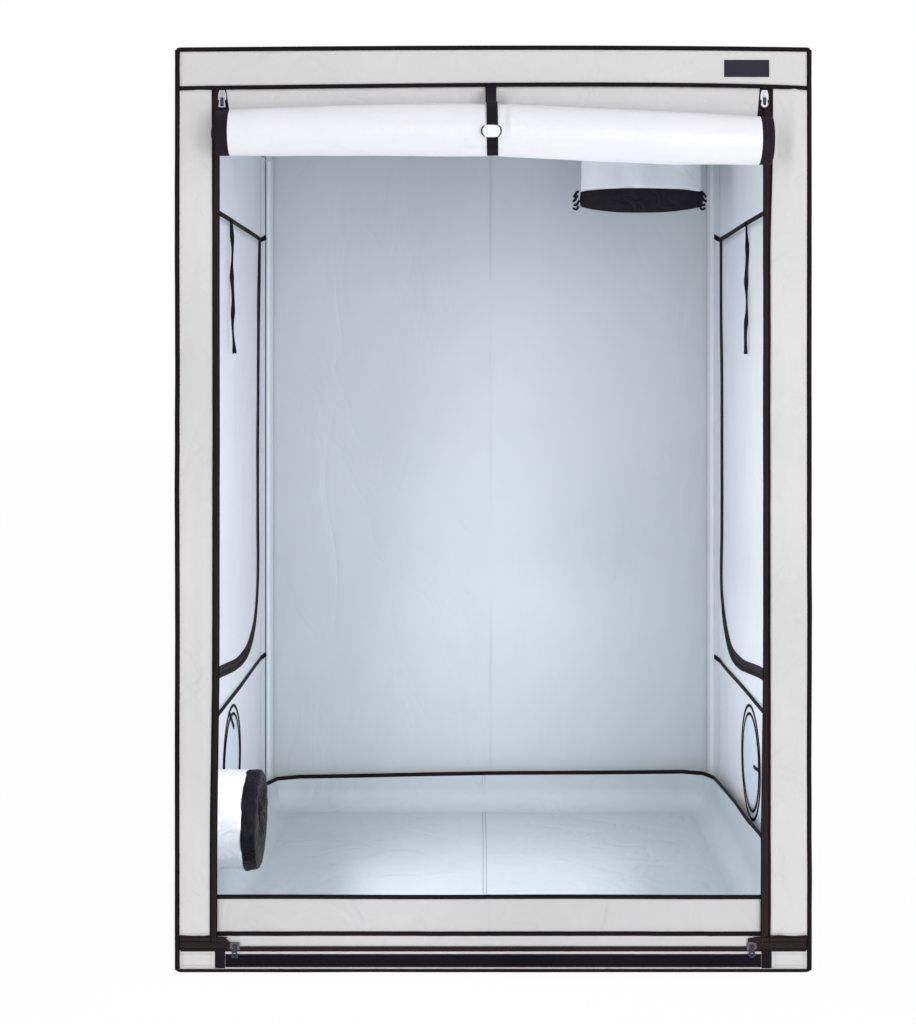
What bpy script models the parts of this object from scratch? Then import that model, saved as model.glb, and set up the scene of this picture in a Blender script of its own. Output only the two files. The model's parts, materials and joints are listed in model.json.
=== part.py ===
"""Indoor grow tent: a zipped fabric cabin over steel tubes, with its front door rolled up.

Metres, +Z up. The origin is on the floor, at the middle of the cabin. The doorway faces -Y.
"""

import math

import bmesh
import bpy
from mathutils import Vector

# Cabin, over its corner bindings
WIDTH = 1.500
DEPTH = 1.500
HEIGHT = 2.185

# Fits and cuts
FIT = 0.0003
OVERRUN = 0.006

# Fabric, corner bindings and flat seam bindings
FABRIC = 0.0016
BINDING_LEG = 0.012
BINDING_PROUD = 0.0015
SEAM_WIDTH = 0.012
SEAM_PROUD = 0.0010
WEBBING = 0.0012

# Frame tubes and their moulded corner sockets
TUBE_DIAMETER = 0.022
TUBE_WALL = 0.0012
SOCKET_WALL = 0.0025
SOCKET_LENGTH = 0.055
SOCKET_STOP = 0.016
WEB_THICKNESS = 0.003
WEB_REACH = 0.046
FRAME_SLACK = 0.003
ROUND_SIDES = 16

# Lamp bars that hang on the top side bars
HANGING_BAR_PLACE = 0.200
SADDLE_WALL = 0.0022
SADDLE_WIDTH = 0.036
SADDLE_LIP_ANGLE = 25
SADDLE_STEPS = 10

# Front face
HEADER_HEIGHT = 0.102
JAMB_WIDTH = 0.087
ZIP_WIDTH = 0.021
COIL_WIDTH = 0.004
COIL_THICKNESS = 0.003
SILL_HEIGHT = 0.052
SILL_ZIP_HALF = 0.009
SILL_ZIP_TOP = 0.0905
SILL_ZIP_REACH = 0.118
SILL_ZIP_END = 0.006
HOOK_STRIP_LOW = 0.014
HOOK_STRIP_HEIGHT = 0.031
HOOK_STRIP_INSET = 0.012
LIP_LOW = 0.045
LIP_HIGH = 0.184
LIP_BINDING = 0.008
LIP_OVERLAP = 0.037
LIP_SEWN_WIDTH = 0.012

# Side walls, side doors and their zips
SIDE_TOP_DROP = 0.330
SIDE_LOW_SEAM = 0.490
SIDE_DOOR_MARGIN = 0.090
SIDE_DOOR_LOW = 0.580
SIDE_DOOR_CORNER = 0.300
SIDE_DOOR_GAP = 0.0005
SIDE_DOOR_HEM_GAP = 0.0014
SIDE_ZIP_WIDTH = 0.012
SIDE_ZIP_LOW_WIDTH = 0.036
SIDE_ZIP_HEM = 0.006
SIDE_SLIDER_DROP = 0.060
CORNER_STEPS = 8

# Vent windows low in the side walls, with their outside covers
VENT_PLACE = 0.090
VENT_CENTRE_HEIGHT = 0.300
VENT_OUTER_RADIUS = 0.160
VENT_INNER_RADIUS = 0.137
VENT_RING_WIDTH = 0.006
VENT_COVER_RADIUS = 0.150
VENT_MESH = 0.0008
RING_SIDES = 32

# Duct sleeves: one hangs from the roof, one comes through the left wall
DUCT_DIAMETER = 0.250
PORT_BINDING = 0.010
SLEEVE_SIDES = 24
ROOF_SLEEVE_FROM_SIDE = 0.294
ROOF_SLEEVE_FROM_REAR = 0.350
ROOF_SLEEVE_LENGTH = 0.270
WALL_SLEEVE_FROM_FRONT = 0.300
WALL_SLEEVE_Z = 0.282
WALL_SLEEVE_LENGTH = 0.160

# Inner tray
TRAY_SLACK = 0.0003
TRAY_BACK_HEIGHT = 0.118
TRAY_FRONT_HEIGHT = 0.150
TRAY_LEFT_HEIGHT = 0.140
TRAY_RIGHT_HEIGHT = 0.190
TRAY_RIM = 0.008

# Rolled front door and its strap
ROLL_RADIUS = 0.058
ROLL_BELOW_HEADER = 0.108
ROLL_OVERHANG = 0.013
ROLL_OUTER_LAYER = 0.005
ROLL_OUTER_STEPS = 20
ROLL_INNER_TURNS = 3
ROLL_INNER_LAYER = 0.012
ROLL_INNER_STEPS = 12
ROLL_LAYER_GAP = 0.0012
ROLL_GROWTH_SHARE = 0.25
DOOR_SIDE_GAP = 0.0065
STRAP_WIDTH = 0.026
STRAP_PLACE = -0.005
STRAP_THICKNESS = 0.0016
STRAP_STEPS = 14
STRAP_TOUCH_ANGLE = 105
STRAP_END_ANGLE = 262
TOGGLE_LENGTH = 0.045
TOGGLE_HEIGHT = 0.028
TOGGLE_THICKNESS = 0.007
TOGGLE_DROP = 0.006
TOGGLE_SIDES = 8

# Ties that hold a rolled side door
TIE_WIDTH = 0.020
TIE_LENGTH = 0.380
TIE_SWAY = 0.010
LEFT_TIE_PLACE = 0.030
RIGHT_TIE_PLACE = 0.120

# Zip sliders and their pulls
SLIDER_LENGTH = 0.023
SLIDER_WIDTH = 0.019
SLIDER_NARROW = 0.013
SLIDER_PLATE = 0.0020
SLIDER_NECK_WIDTH = 0.004
SLIDER_NECK_LENGTH = 0.010
CROWN_LENGTH = 0.013
CROWN_WIDTH = 0.0035
CROWN_GAP = 0.003
CROWN_BAR = 0.0016
LOOP_WALL = 0.0009
PULL_THICKNESS = 0.0016
PULL_BAR = 0.0020
PULL_EYE_LENGTH = 0.0070
PULL_EYE_WIDTH = 0.0050
PULL_LENGTH = 0.030
PULL_TOP_WIDTH = 0.011
PULL_WIDTH = 0.0165
PULL_WINDOW_LENGTH = 0.012
PULL_WINDOW_WIDTH = 0.008
PULL_HOLE_RADIUS = 0.0038
PULL_CORNER_SHARES = {"round": 0.90, "square": 0.25}
PULL_CORNER_STEPS = 4
PULL_WAIST_SHARE = 0.90

# Places that follow from the sizes above
HALF_X = WIDTH / 2
HALF_Y = DEPTH / 2
BINDING_THICKNESS = BINDING_PROUD + FABRIC + SEAM_PROUD
FABRIC_OUT = BINDING_PROUD
FABRIC_IN = BINDING_PROUD + FABRIC
PANEL_INSET = BINDING_LEG + FIT
TUBE_RADIUS = TUBE_DIAMETER / 2
SOCKET_BORE = TUBE_RADIUS + FIT
SOCKET_RADIUS = SOCKET_BORE + SOCKET_WALL
FRAME_X = HALF_X - BINDING_THICKNESS - FRAME_SLACK - SOCKET_RADIUS
FRAME_Y = HALF_Y - BINDING_THICKNESS - FRAME_SLACK - SOCKET_RADIUS
FRAME_LOW = FABRIC + FIT + SOCKET_RADIUS
FRAME_HIGH = HEIGHT - FABRIC_IN - FIT - SOCKET_RADIUS
HEADER_LOW = HEIGHT - HEADER_HEIGHT
JAMB_EDGE = HALF_X - JAMB_WIDTH
DOORWAY_HALF_WIDTH = JAMB_EDGE - ZIP_WIDTH
HOOK_STRIP_HALF_LENGTH = DOORWAY_HALF_WIDTH - HOOK_STRIP_INSET
LIP_HALF_WIDTH = JAMB_EDGE + LIP_OVERLAP
ROLL_HEIGHT = HEADER_LOW - ROLL_BELOW_HEADER
ROLL_HALF_LENGTH = DOORWAY_HALF_WIDTH + ROLL_OVERHANG
TOGGLE_CENTRE_HEIGHT = ROLL_HEIGHT - TOGGLE_DROP
SIDE_TOP_SEAM = HEIGHT - SIDE_TOP_DROP
SIDE_DOOR_HALF_WIDTH = HALF_Y - SIDE_DOOR_MARGIN
FRONT_OUT = -HALF_Y + FABRIC_OUT
FRONT_IN = -HALF_Y + FABRIC_IN
FRONT_MIDDLE = (FRONT_OUT + FRONT_IN) / 2
HANGING_BAR_Z = FRAME_HIGH
DUCT_RADIUS = DUCT_DIAMETER / 2
PORT_RADIUS = DUCT_RADIUS + FIT
ROOF_SLEEVE_X = HALF_X - ROOF_SLEEVE_FROM_SIDE
ROOF_SLEEVE_Y = HALF_Y - ROOF_SLEEVE_FROM_REAR
WALL_SLEEVE_Y = -HALF_Y + WALL_SLEEVE_FROM_FRONT
SIDE_DOOR_TOP = SIDE_TOP_SEAM - SEAM_WIDTH / 2 - SIDE_DOOR_HEM_GAP
CROWN_AXIS = CROWN_GAP / 2

# Finishes: colour, roughness, metallic
FINISHES = {
    "cover_fabric": ((0.66, 0.64, 0.62), 0.75, 0.0),
    "inner_fabric": ((0.62, 0.68, 0.74), 0.45, 0.0),
    "door_fabric": ((0.88, 0.88, 0.92), 0.35, 0.0),
    "sleeve_fabric": ((0.74, 0.78, 0.84), 0.40, 0.0),
    "black_tape": ((0.022, 0.020, 0.022), 0.80, 0.0),
    "white_tube": ((0.80, 0.82, 0.84), 0.30, 0.2),
    "socket_plastic": ((0.60, 0.62, 0.64), 0.50, 0.0),
    "slider_metal": ((0.60, 0.60, 0.61), 0.30, 1.0),
    "toggle_plastic": ((0.85, 0.86, 0.88), 0.35, 0.0),
}


def clear_scene():
    for thing in list(bpy.data.objects):
        bpy.data.objects.remove(thing, do_unlink=True)


def finish_material(finish):
    material = bpy.data.materials.get(finish)
    if material:
        return material
    colour, roughness, metallic = FINISHES[finish]
    material = bpy.data.materials.new(finish)
    material.use_nodes = True
    shader = material.node_tree.nodes["Principled BSDF"]
    shader.inputs["Base Color"].default_value = (*colour, 1.0)
    shader.inputs["Roughness"].default_value = roughness
    shader.inputs["Metallic"].default_value = metallic
    material.diffuse_color = (*colour, 1.0)
    return material


# Solids are pairs of corner and face lists until they become objects

def skin(rings, wrap=False):
    """Join rings of equal count. Both ends are capped, or joined to each other by wrap."""
    count = len(rings[0])
    corners = [corner for ring in rings for corner in ring]
    spans = len(rings) if wrap else len(rings) - 1
    faces = []
    for span in range(spans):
        here, after = span * count, (span + 1) % len(rings) * count
        for i in range(count):
            j = (i + 1) % count
            faces.append((here + i, here + j, after + j, after + i))
    if not wrap:
        faces.append(tuple(reversed(range(count))))
        faces.append(tuple(range(len(corners) - count, len(corners))))
    return corners, faces


def along_x(a, b, c):
    return (c, a, b)


def along_y(a, b, c):
    return (a, c, b)


def along_z(a, b, c):
    return (a, b, c)


def prism(outline, place, start, end):
    """Extrude an outline of (a, b) pairs along the axis of place, from start to end."""
    return skin([[place(a, b, c) for a, b in outline] for c in (start, end)])


def arc(centre, radius, start, end, steps):
    """Points of an arc, angles in degrees."""
    angles = [math.radians(start + (end - start) * i / steps) for i in range(steps + 1)]
    return [(centre[0] + radius * math.cos(a), centre[1] + radius * math.sin(a)) for a in angles]


def circle(centre, radius, sides):
    half_side = 180 / sides
    return arc(centre, radius, half_side, 360 + half_side, sides)[:-1]


def rod(centre, radius, place, start, end, sides=ROUND_SIDES):
    return prism(circle(centre, radius, sides), place, start, end)


def pipe(centre, radius, wall, place, start, end):
    """A tube that is open at both ends."""
    outer = circle(centre, radius, ROUND_SIDES)
    inner = circle(centre, radius - wall, ROUND_SIDES)
    rows = ((outer, start), (outer, end), (inner, end), (inner, start))
    return skin([[place(a, b, c) for a, b in loop] for loop, c in rows], wrap=True)


def angle_binding(corner, legs, place, start, end):
    """An L-section binding. legs holds the directions (+1 or -1) of its two legs."""
    (a, b), (da, db) = corner, legs
    leg, thick = BINDING_LEG, BINDING_THICKNESS
    outline = [(0, 0), (leg, 0), (leg, thick), (thick, thick), (thick, leg), (0, leg)]
    return prism([(a + da * u, b + db * v) for u, v in outline], place, start, end)


def object_of(name, solid):
    corners, faces = solid
    mesh = bpy.data.meshes.new(name)
    mesh.from_pydata([Vector(corner) for corner in corners], [], faces)
    work = bmesh.new()
    work.from_mesh(mesh)
    bmesh.ops.recalc_face_normals(work, faces=work.faces)
    work.to_mesh(mesh)
    work.free()
    thing = bpy.data.objects.new(name, mesh)
    bpy.context.scene.collection.objects.link(thing)
    return thing


def combine(thing, solid, operation):
    """Add a solid to an object, or cut it away, and keep the plain result."""
    other = object_of("operand", solid)
    modifier = thing.modifiers.new("combine", "BOOLEAN")
    modifier.operation = operation
    modifier.solver = "EXACT"
    modifier.object = other
    bpy.context.view_layer.update()
    graph = bpy.context.evaluated_depsgraph_get()
    mesh = bpy.data.meshes.new_from_object(thing.evaluated_get(graph))
    thing.modifiers.clear()
    thing.data = mesh
    bpy.data.objects.remove(other, do_unlink=True)


def add_part(name, finish, solids, cuts=(), origin=(0, 0, 0)):
    """Make one named sub-part from solids that overlap, less the cuts."""
    thing = object_of(name, solids[0])
    for solid in solids[1:]:
        combine(thing, solid, "UNION")
    for solid in cuts:
        combine(thing, solid, "DIFFERENCE")
    for vertex in thing.data.vertices:
        vertex.co -= Vector(origin)
    thing.location = origin
    thing.data.name = name
    thing.data.materials.clear()
    thing.data.materials.append(finish_material(finish))
    thing.data.shade_smooth()
    thing.data.set_sharp_from_angle(angle=math.radians(35))
    return thing


# Frame

def make_posts():
    low, high = FRAME_LOW + SOCKET_STOP + FIT, FRAME_HIGH - SOCKET_STOP - FIT
    for face, y in (("front", -FRAME_Y), ("rear", FRAME_Y)):
        for side, x in (("left", -FRAME_X), ("right", FRAME_X)):
            post = pipe((x, y), TUBE_RADIUS, TUBE_WALL, along_z, low, high)
            add_part(f"post_{face}_{side}", "white_tube", [post])


def make_bars():
    end_x, end_y = FRAME_X - SOCKET_STOP - FIT, FRAME_Y - SOCKET_STOP - FIT
    for level, z in (("bottom", FRAME_LOW), ("top", FRAME_HIGH)):
        for face, y in (("front", -FRAME_Y), ("rear", FRAME_Y)):
            bar = pipe((y, z), TUBE_RADIUS, TUBE_WALL, along_x, -end_x, end_x)
            add_part(f"bar_{level}_{face}", "white_tube", [bar])
        for side, x in (("left", -FRAME_X), ("right", FRAME_X)):
            bar = pipe((x, z), TUBE_RADIUS, TUBE_WALL, along_y, -end_y, end_y)
            add_part(f"bar_{level}_{side}", "white_tube", [bar])


def socket_rods(centre, inward, radius, start, end):
    """Three rods from a corner, along X, Y and Z, each from start to end towards the cabin."""
    (x, y, z), (dx, dy, dz) = centre, inward
    return [
        rod((y, z), radius, along_x, x + dx * start, x + dx * end),
        rod((x, z), radius, along_y, y + dy * start, y + dy * end),
        rod((x, y), radius, along_z, z + dz * start, z + dz * end),
    ]


def corner_webs(centre, inward):
    """Triangular webs that stiffen a corner in the planes of the cabin's walls."""
    (x, y, z), (dx, dy, dz) = centre, inward
    half = WEB_THICKNESS / 2
    in_front = [(x, z), (x + dx * WEB_REACH, z), (x, z + dz * WEB_REACH)]
    beside = [(y, z), (y + dy * WEB_REACH, z), (y, z + dz * WEB_REACH)]
    return [
        prism(in_front, along_y, y - half, y + half),
        prism(beside, along_x, x - half, x + half),
    ]


def make_corners():
    places = [
        (level, face, side, (x, y, z), (-math.copysign(1, x), -math.copysign(1, y), dz))
        for level, z, dz in (("bottom", FRAME_LOW, 1), ("top", FRAME_HIGH, -1))
        for face, y in (("front", -FRAME_Y), ("rear", FRAME_Y))
        for side, x in (("left", -FRAME_X), ("right", FRAME_X))
    ]
    for level, face, side, centre, inward in places:
        solids = socket_rods(centre, inward, SOCKET_RADIUS, 0, SOCKET_LENGTH)
        solids += corner_webs(centre, inward)
        bores = socket_rods(centre, inward, SOCKET_BORE, SOCKET_STOP, SOCKET_LENGTH + OVERRUN)
        add_part(f"corner_{level}_{face}_{side}", "socket_plastic", solids, bores)


def make_hanging_bars():
    """Each bar ends in two saddles that lie over the top side bars and slide along them."""
    inner, outer = SOCKET_BORE, SOCKET_BORE + SADDLE_WALL
    end = FRAME_X - inner - SADDLE_WALL / 2
    for face, y in (("front", -HANGING_BAR_PLACE), ("rear", HANGING_BAR_PLACE)):
        solids = [rod((y, HANGING_BAR_Z), TUBE_RADIUS, along_x, -end, end)]
        for side in (-1, 1):
            lip = SADDLE_LIP_ANGLE
            start, stop = (0, 180 + lip) if side > 0 else (180, -lip)
            centre = (side * FRAME_X, HANGING_BAR_Z)
            hook = arc(centre, outer, start, stop, SADDLE_STEPS)
            hook += arc(centre, inner, stop, start, SADDLE_STEPS)
            solids.append(prism(hook, along_y, y - SADDLE_WIDTH / 2, y + SADDLE_WIDTH / 2))
        past = end + OVERRUN
        bore = rod((y, HANGING_BAR_Z), TUBE_RADIUS - TUBE_WALL, along_x, -past, past)
        name = f"hanging_bar_{face}"
        add_part(name, "white_tube", solids, [bore], origin=(0, y, HANGING_BAR_Z))


# Cover

def plate(place, inner, outer, low, high):
    """A flat piece of fabric, from (a, b) low to (a, b) high, between two depths."""
    (a0, b0), (a1, b1) = low, high
    return prism([(a0, b0), (a1, b0), (a1, b1), (a0, b1)], place, inner, outer)


def ring_plate(centre, radius, width, place, start, end):
    """A flat ring."""
    outer = circle(centre, radius, RING_SIDES)
    inner = circle(centre, radius - width, RING_SIDES)
    rows = ((outer, start), (outer, end), (inner, end), (inner, start))
    return skin([[place(a, b, c) for a, b in loop] for loop, c in rows], wrap=True)


def make_roof():
    reach_y = HALF_Y - PANEL_INSET
    top, under = HEIGHT - FABRIC_OUT, HEIGHT - FABRIC_IN
    port = (ROOF_SLEEVE_X, ROOF_SLEEVE_Y)
    edge = HALF_X - BINDING_THICKNESS / 2
    solids = [plate(along_z, under, top, (-edge, -reach_y), (edge, reach_y))]
    for side in (-1, 1):
        corner, legs = (side * HALF_X, HEIGHT), (-side, -1)
        solids.append(angle_binding(corner, legs, along_y, -reach_y, reach_y))
    binding = PORT_RADIUS + PORT_BINDING
    solids.append(rod(port, binding, along_z, under - SEAM_PROUD, top + SEAM_PROUD, RING_SIDES))
    hole = rod(port, PORT_RADIUS, along_z, under - OVERRUN, top + OVERRUN, SLEEVE_SIDES)
    add_part("roof_panel", "cover_fabric", solids, [hole])


def make_floor_sheet():
    reach_y = HALF_Y - PANEL_INSET
    edge = HALF_X - BINDING_THICKNESS / 2
    solids = [plate(along_z, 0, FABRIC, (-edge, -reach_y), (edge, reach_y))]
    for side in (-1, 1):
        corner, legs = (side * HALF_X, 0), (-side, 1)
        solids.append(angle_binding(corner, legs, along_y, -reach_y, reach_y))
    add_part("floor_sheet", "cover_fabric", solids)


def corner_post_binding(side_x, side_y):
    """A vertical corner binding with closed ends, as overlapping solids."""
    x, y = side_x * HALF_X, side_y * HALF_Y
    solids = [angle_binding((x, y), (-side_x, -side_y), along_z, 0, HEIGHT)]
    square = [(0, 0), (BINDING_LEG, 0), (BINDING_LEG, BINDING_LEG), (0, BINDING_LEG)]
    outline = [(x - side_x * u, y - side_y * v) for u, v in square]
    for start, end in ((0, BINDING_THICKNESS), (HEIGHT - BINDING_THICKNESS, HEIGHT)):
        solids.append(prism(outline, along_z, start, end))
    return solids


def make_rear_wall():
    edge = HALF_X - BINDING_THICKNESS / 2
    lowest, highest = BINDING_THICKNESS / 2, HEIGHT - BINDING_THICKNESS / 2
    inner, outer = HALF_Y - FABRIC_IN, HALF_Y - FABRIC_OUT
    solids = [plate(along_y, inner, outer, (-edge, lowest), (edge, highest))]
    reach = HALF_X - BINDING_LEG / 2
    for z, up in ((0, 1), (HEIGHT, -1)):
        solids.append(angle_binding((HALF_Y, z), (-1, up), along_x, -reach, reach))
    for side in (-1, 1):
        solids += corner_post_binding(side, 1)
    add_part("rear_wall", "inner_fabric", solids)


def side_plate(side, low, high, proud=0.0):
    """A plate in a side wall's plane. Corners are (y, z)."""
    inner, outer = HALF_X - FABRIC_IN - proud, HALF_X - FABRIC_OUT + proud
    return plate(along_x, side * inner, side * outer, low, high)


def side_door_outline(grow, sides=0.0, low=0.0, rise=0.0):
    """The door's outline in (y, z), grown by a gap or drawn in by its zip, with a round foot."""
    half = SIDE_DOOR_HALF_WIDTH + grow - sides
    foot = SIDE_DOOR_LOW - grow + low
    corner = SIDE_DOOR_CORNER + grow - sides
    top = SIDE_DOOR_TOP + rise
    left = arc((-half + corner, foot + corner), corner, 180, 270, CORNER_STEPS)
    right = arc((half - corner, foot + corner), corner, 270, 360, CORNER_STEPS)
    return left + right + [(half, top), (-half, top)]


def make_side_wall(label, side):
    """The upper part of a side wall, with the doorway cut out of it."""
    reach = HALF_Y - PANEL_INSET
    low, high = SIDE_LOW_SEAM + SEAM_WIDTH / 2 + FIT, HEIGHT - PANEL_INSET
    seam = SEAM_WIDTH / 2
    solids = [
        side_plate(side, (-reach, low), (reach, high)),
        side_plate(side, (-reach, SIDE_TOP_SEAM - seam), (reach, SIDE_TOP_SEAM + seam), SEAM_PROUD),
    ]
    outline = side_door_outline(SIDE_DOOR_GAP, rise=SIDE_DOOR_HEM_GAP)
    inner = side * (HALF_X - FABRIC_IN - OVERRUN)
    outer = side * (HALF_X + OVERRUN)
    add_part(f"{label}_wall", "inner_fabric", solids, [prism(outline, along_x, inner, outer)])


def make_side_door(label, side):
    """A fabric door that its top hem carries. Its zip runs down both edges and along its foot."""
    inner, outer = HALF_X - FABRIC_IN, HALF_X - FABRIC_OUT
    hem = SIDE_DOOR_TOP - FIT
    outline = [(y, min(z, hem)) for y, z in side_door_outline(0)]
    panel = prism(outline, along_x, side * inner, side * outer)
    zip_top = hem - SIDE_ZIP_HEM
    band_outer = [(y, min(z, zip_top)) for y, z in side_door_outline(0)]
    band_inner = side_door_outline(0, sides=SIDE_ZIP_WIDTH, low=SIDE_ZIP_LOW_WIDTH)
    band_inner = [(y, min(z, zip_top - SIDE_ZIP_WIDTH)) for y, z in band_inner]
    start, end = side * (inner - SEAM_PROUD), side * (outer + SEAM_PROUD)
    rows = ((band_outer, start), (band_outer, end), (band_inner, end), (band_inner, start))
    band = skin([[along_x(a, b, c) for a, b in loop] for loop, c in rows], wrap=True)
    pivot = (side * (inner + outer) / 2, 0, SIDE_DOOR_TOP)
    add_part(f"{label}_side_door", "inner_fabric", [panel, band], origin=pivot)


def make_wall_base(label, side):
    """The lower part of a side wall, with a vent window and, on the left, a duct port."""
    reach = HALF_Y - PANEL_INSET
    low, high = PANEL_INSET, SIDE_LOW_SEAM
    seam = SEAM_WIDTH / 2
    inner, outer = side * (HALF_X - FABRIC_IN), side * (HALF_X - FABRIC_OUT)
    middle = (inner + outer) / 2
    inside = side * (HALF_X - FABRIC_IN - SEAM_PROUD)
    vent = (VENT_PLACE, VENT_CENTRE_HEIGHT)
    window = VENT_INNER_RADIUS - VENT_RING_WIDTH
    solids = [
        side_plate(side, (-reach, low), (reach, high)),
        side_plate(side, (-reach, high - seam), (reach, high + seam), SEAM_PROUD),
        ring_plate(vent, VENT_OUTER_RADIUS, VENT_RING_WIDTH, along_x, middle, inside),
        ring_plate(vent, VENT_INNER_RADIUS, VENT_RING_WIDTH, along_x, middle, inside),
    ]
    mesh_face = outer - side * VENT_MESH
    past = side * (HALF_X - FABRIC_IN - OVERRUN)
    cuts = [rod(vent, window, along_x, mesh_face, past, RING_SIDES)]
    if side < 0:
        port = (WALL_SLEEVE_Y, WALL_SLEEVE_Z)
        radius = PORT_RADIUS + PORT_BINDING
        solids.append(ring_plate(port, radius, PORT_BINDING, along_x, middle, inside))
        cuts.append(rod(port, PORT_RADIUS, along_x, outer - OVERRUN, past, SLEEVE_SIDES))
    add_part(f"{label}_wall_base", "inner_fabric", solids, cuts)


def make_vent_cover(label, side):
    outer, inner = side * HALF_X, side * (HALF_X - FABRIC_OUT + FIT)
    centre = (VENT_PLACE, VENT_CENTRE_HEIGHT)
    disc = rod(centre, VENT_COVER_RADIUS, along_x, inner, outer, RING_SIDES)
    pivot = ((inner + outer) / 2, VENT_PLACE, VENT_CENTRE_HEIGHT + VENT_COVER_RADIUS)
    add_part(f"{label}_vent_cover", "cover_fabric", [disc], origin=pivot)


# Front face

def front_plate(low, high, proud=0.0):
    """A plate in the front face's plane. Corners are (x, z)."""
    return plate(along_y, FRONT_OUT - proud, FRONT_IN + proud, low, high)


def make_header():
    reach = HALF_X - PANEL_INSET
    top = HEIGHT - BINDING_THICKNESS / 2
    solids = [
        front_plate((-reach, HEADER_LOW), (reach, top)),
        front_plate((-reach, HEADER_LOW), (reach, HEADER_LOW + SEAM_WIDTH), SEAM_PROUD),
        angle_binding((-HALF_Y, HEIGHT), (1, -1), along_x, -reach, reach),
    ]
    add_part("front_header", "cover_fabric", solids)


def make_jamb(label, side):
    low, high = SILL_ZIP_TOP + FIT, HEADER_LOW - FIT
    edges = sorted((side * JAMB_EDGE, side * (HALF_X - BINDING_THICKNESS / 2)))
    solids = [front_plate((edges[0], low), (edges[1], high))] + corner_post_binding(side, -1)
    add_part(f"front_jamb_{label}", "cover_fabric", solids)


def make_sill():
    reach = HALF_X - PANEL_INSET
    low, high = BINDING_THICKNESS / 2, SILL_HEIGHT - FIT
    solids = [
        front_plate((-reach, low), (reach, high)),
        angle_binding((-HALF_Y, 0), (1, 1), along_x, -reach, reach),
    ]
    add_part("front_sill", "cover_fabric", solids)


def make_hook_strip():
    half, low = HOOK_STRIP_HALF_LENGTH, HOOK_STRIP_LOW
    high = low + HOOK_STRIP_HEIGHT
    strip = plate(along_y, -HALF_Y, FRONT_OUT - FIT, (-half, low), (half, high))
    add_part("sill_hook_strip", "black_tape", [strip])


def coil_front():
    """The outer face of a zip's coil, which stands proud of its tape on both sides."""
    return FRONT_MIDDLE - COIL_THICKNESS / 2


def make_front_zip(label, side):
    """The half of the front zip that stays on the jamb: a tape with its coil along one edge."""
    low, high = SILL_ZIP_TOP + FIT, HEADER_LOW - FIT
    tape, coil = WEBBING / 2, COIL_THICKNESS / 2
    near, far = DOORWAY_HALF_WIDTH, JAMB_EDGE - FIT
    shoulder = near + COIL_WIDTH
    quarter = COIL_THICKNESS / 4
    outline = [
        (near, -quarter), (near + quarter, -coil), (shoulder - quarter, -coil),
        (shoulder, -tape), (far, -tape), (far, tape), (shoulder, tape),
        (shoulder - quarter, coil), (near + quarter, coil), (near, quarter),
    ]
    outline = [(side * x, FRONT_MIDDLE + y) for x, y in outline]
    strip = prism(outline, along_z, low, high)
    add_part(f"front_zip_{label}", "black_tape", [strip])


def make_sill_zip():
    """The zip along the sill. Its two halves are still joined at the ends of the front."""
    reach = HALF_X - PANEL_INSET
    low, split = SILL_HEIGHT, SILL_HEIGHT + SILL_ZIP_HALF
    slot = SLIDER_NECK_WIDTH + FIT + FIT
    upper = split + slot
    inner = reach - SILL_ZIP_REACH
    tape_in = FRONT_MIDDLE + WEBBING / 2
    tape_out = FRONT_MIDDLE - WEBBING / 2
    solids = [
        plate(along_y, tape_out, tape_in, (-reach, low), (reach, split)),
        plate(along_y, coil_front(), coil_front() + COIL_THICKNESS,
              (-inner, split - COIL_WIDTH), (inner, split)),
    ]
    for side in (-1, 1):
        near, far = sorted((side * inner, side * reach))
        solids.append(plate(along_y, tape_out, tape_in, (near, upper), (far, SILL_ZIP_TOP)))
        near, far = sorted((side * (reach - SILL_ZIP_END), side * reach))
        solids.append(plate(along_y, tape_out, tape_in, (near, low), (far, SILL_ZIP_TOP)))
    add_part("sill_zip", "black_tape", solids)


def make_lip():
    """The low splash panel behind the door and its sliders, bound along its top.

    Its ends are folded forward and sewn to the jambs.
    """
    slider_back = coil_front() + COIL_THICKNESS + FIT + SLIDER_PLATE
    outer = slider_back + FIT + SEAM_PROUD
    inner = outer + FABRIC
    half = LIP_HALF_WIDTH
    solids = [
        plate(along_y, outer, inner, (-half, LIP_LOW), (half, LIP_HIGH)),
        plate(along_y, outer - SEAM_PROUD, inner + SEAM_PROUD,
              (-half, LIP_HIGH - LIP_BINDING), (half, LIP_HIGH)),
    ]
    for side in (-1, 1):
        near, far = sorted((side * (half - LIP_SEWN_WIDTH), side * half))
        sewn = ((near, SILL_ZIP_TOP), (far, LIP_HIGH))
        solids.append(plate(along_y, FRONT_IN + FIT, outer + FABRIC / 2, *sewn))
    add_part("front_lip", "cover_fabric", solids)


# Rolled door, with its strap and toggle

# Places along the roll, the roll's radius there, and how far it hangs down, all as shares
ROLL_PLACE_SHARES = (-1.0, -0.66, -0.34, -0.10, -0.032, 0.017, 0.09, 0.34, 0.66, 1.0)
ROLL_RADIUS_SHARES = (0.90, 1.00, 1.03, 1.05, 0.99, 0.99, 1.05, 1.03, 1.00, 0.93)
ROLL_DROP_SHARES = (0.05, 0.02, -0.04, -0.08, -0.08, -0.08, -0.06, 0.02, 0.12, 0.20)
STRAP_STATION = 4
ROLL_SPREAD_SHARE = 4


def roll_radius(turn):
    """Outer radius of the spiral. Each inner turn stands for several turns of cloth."""
    return ROLL_RADIUS - ROLL_OUTER_LAYER * min(turn, 1) - ROLL_INNER_LAYER * max(turn - 1, 0)


def roll_centre(radius_share, drop_share):
    """The roll lies in front of the door's plane and touches it from outside."""
    return FRONT_IN - ROLL_RADIUS * radius_share, ROLL_HEIGHT - drop_share * ROLL_RADIUS


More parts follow.
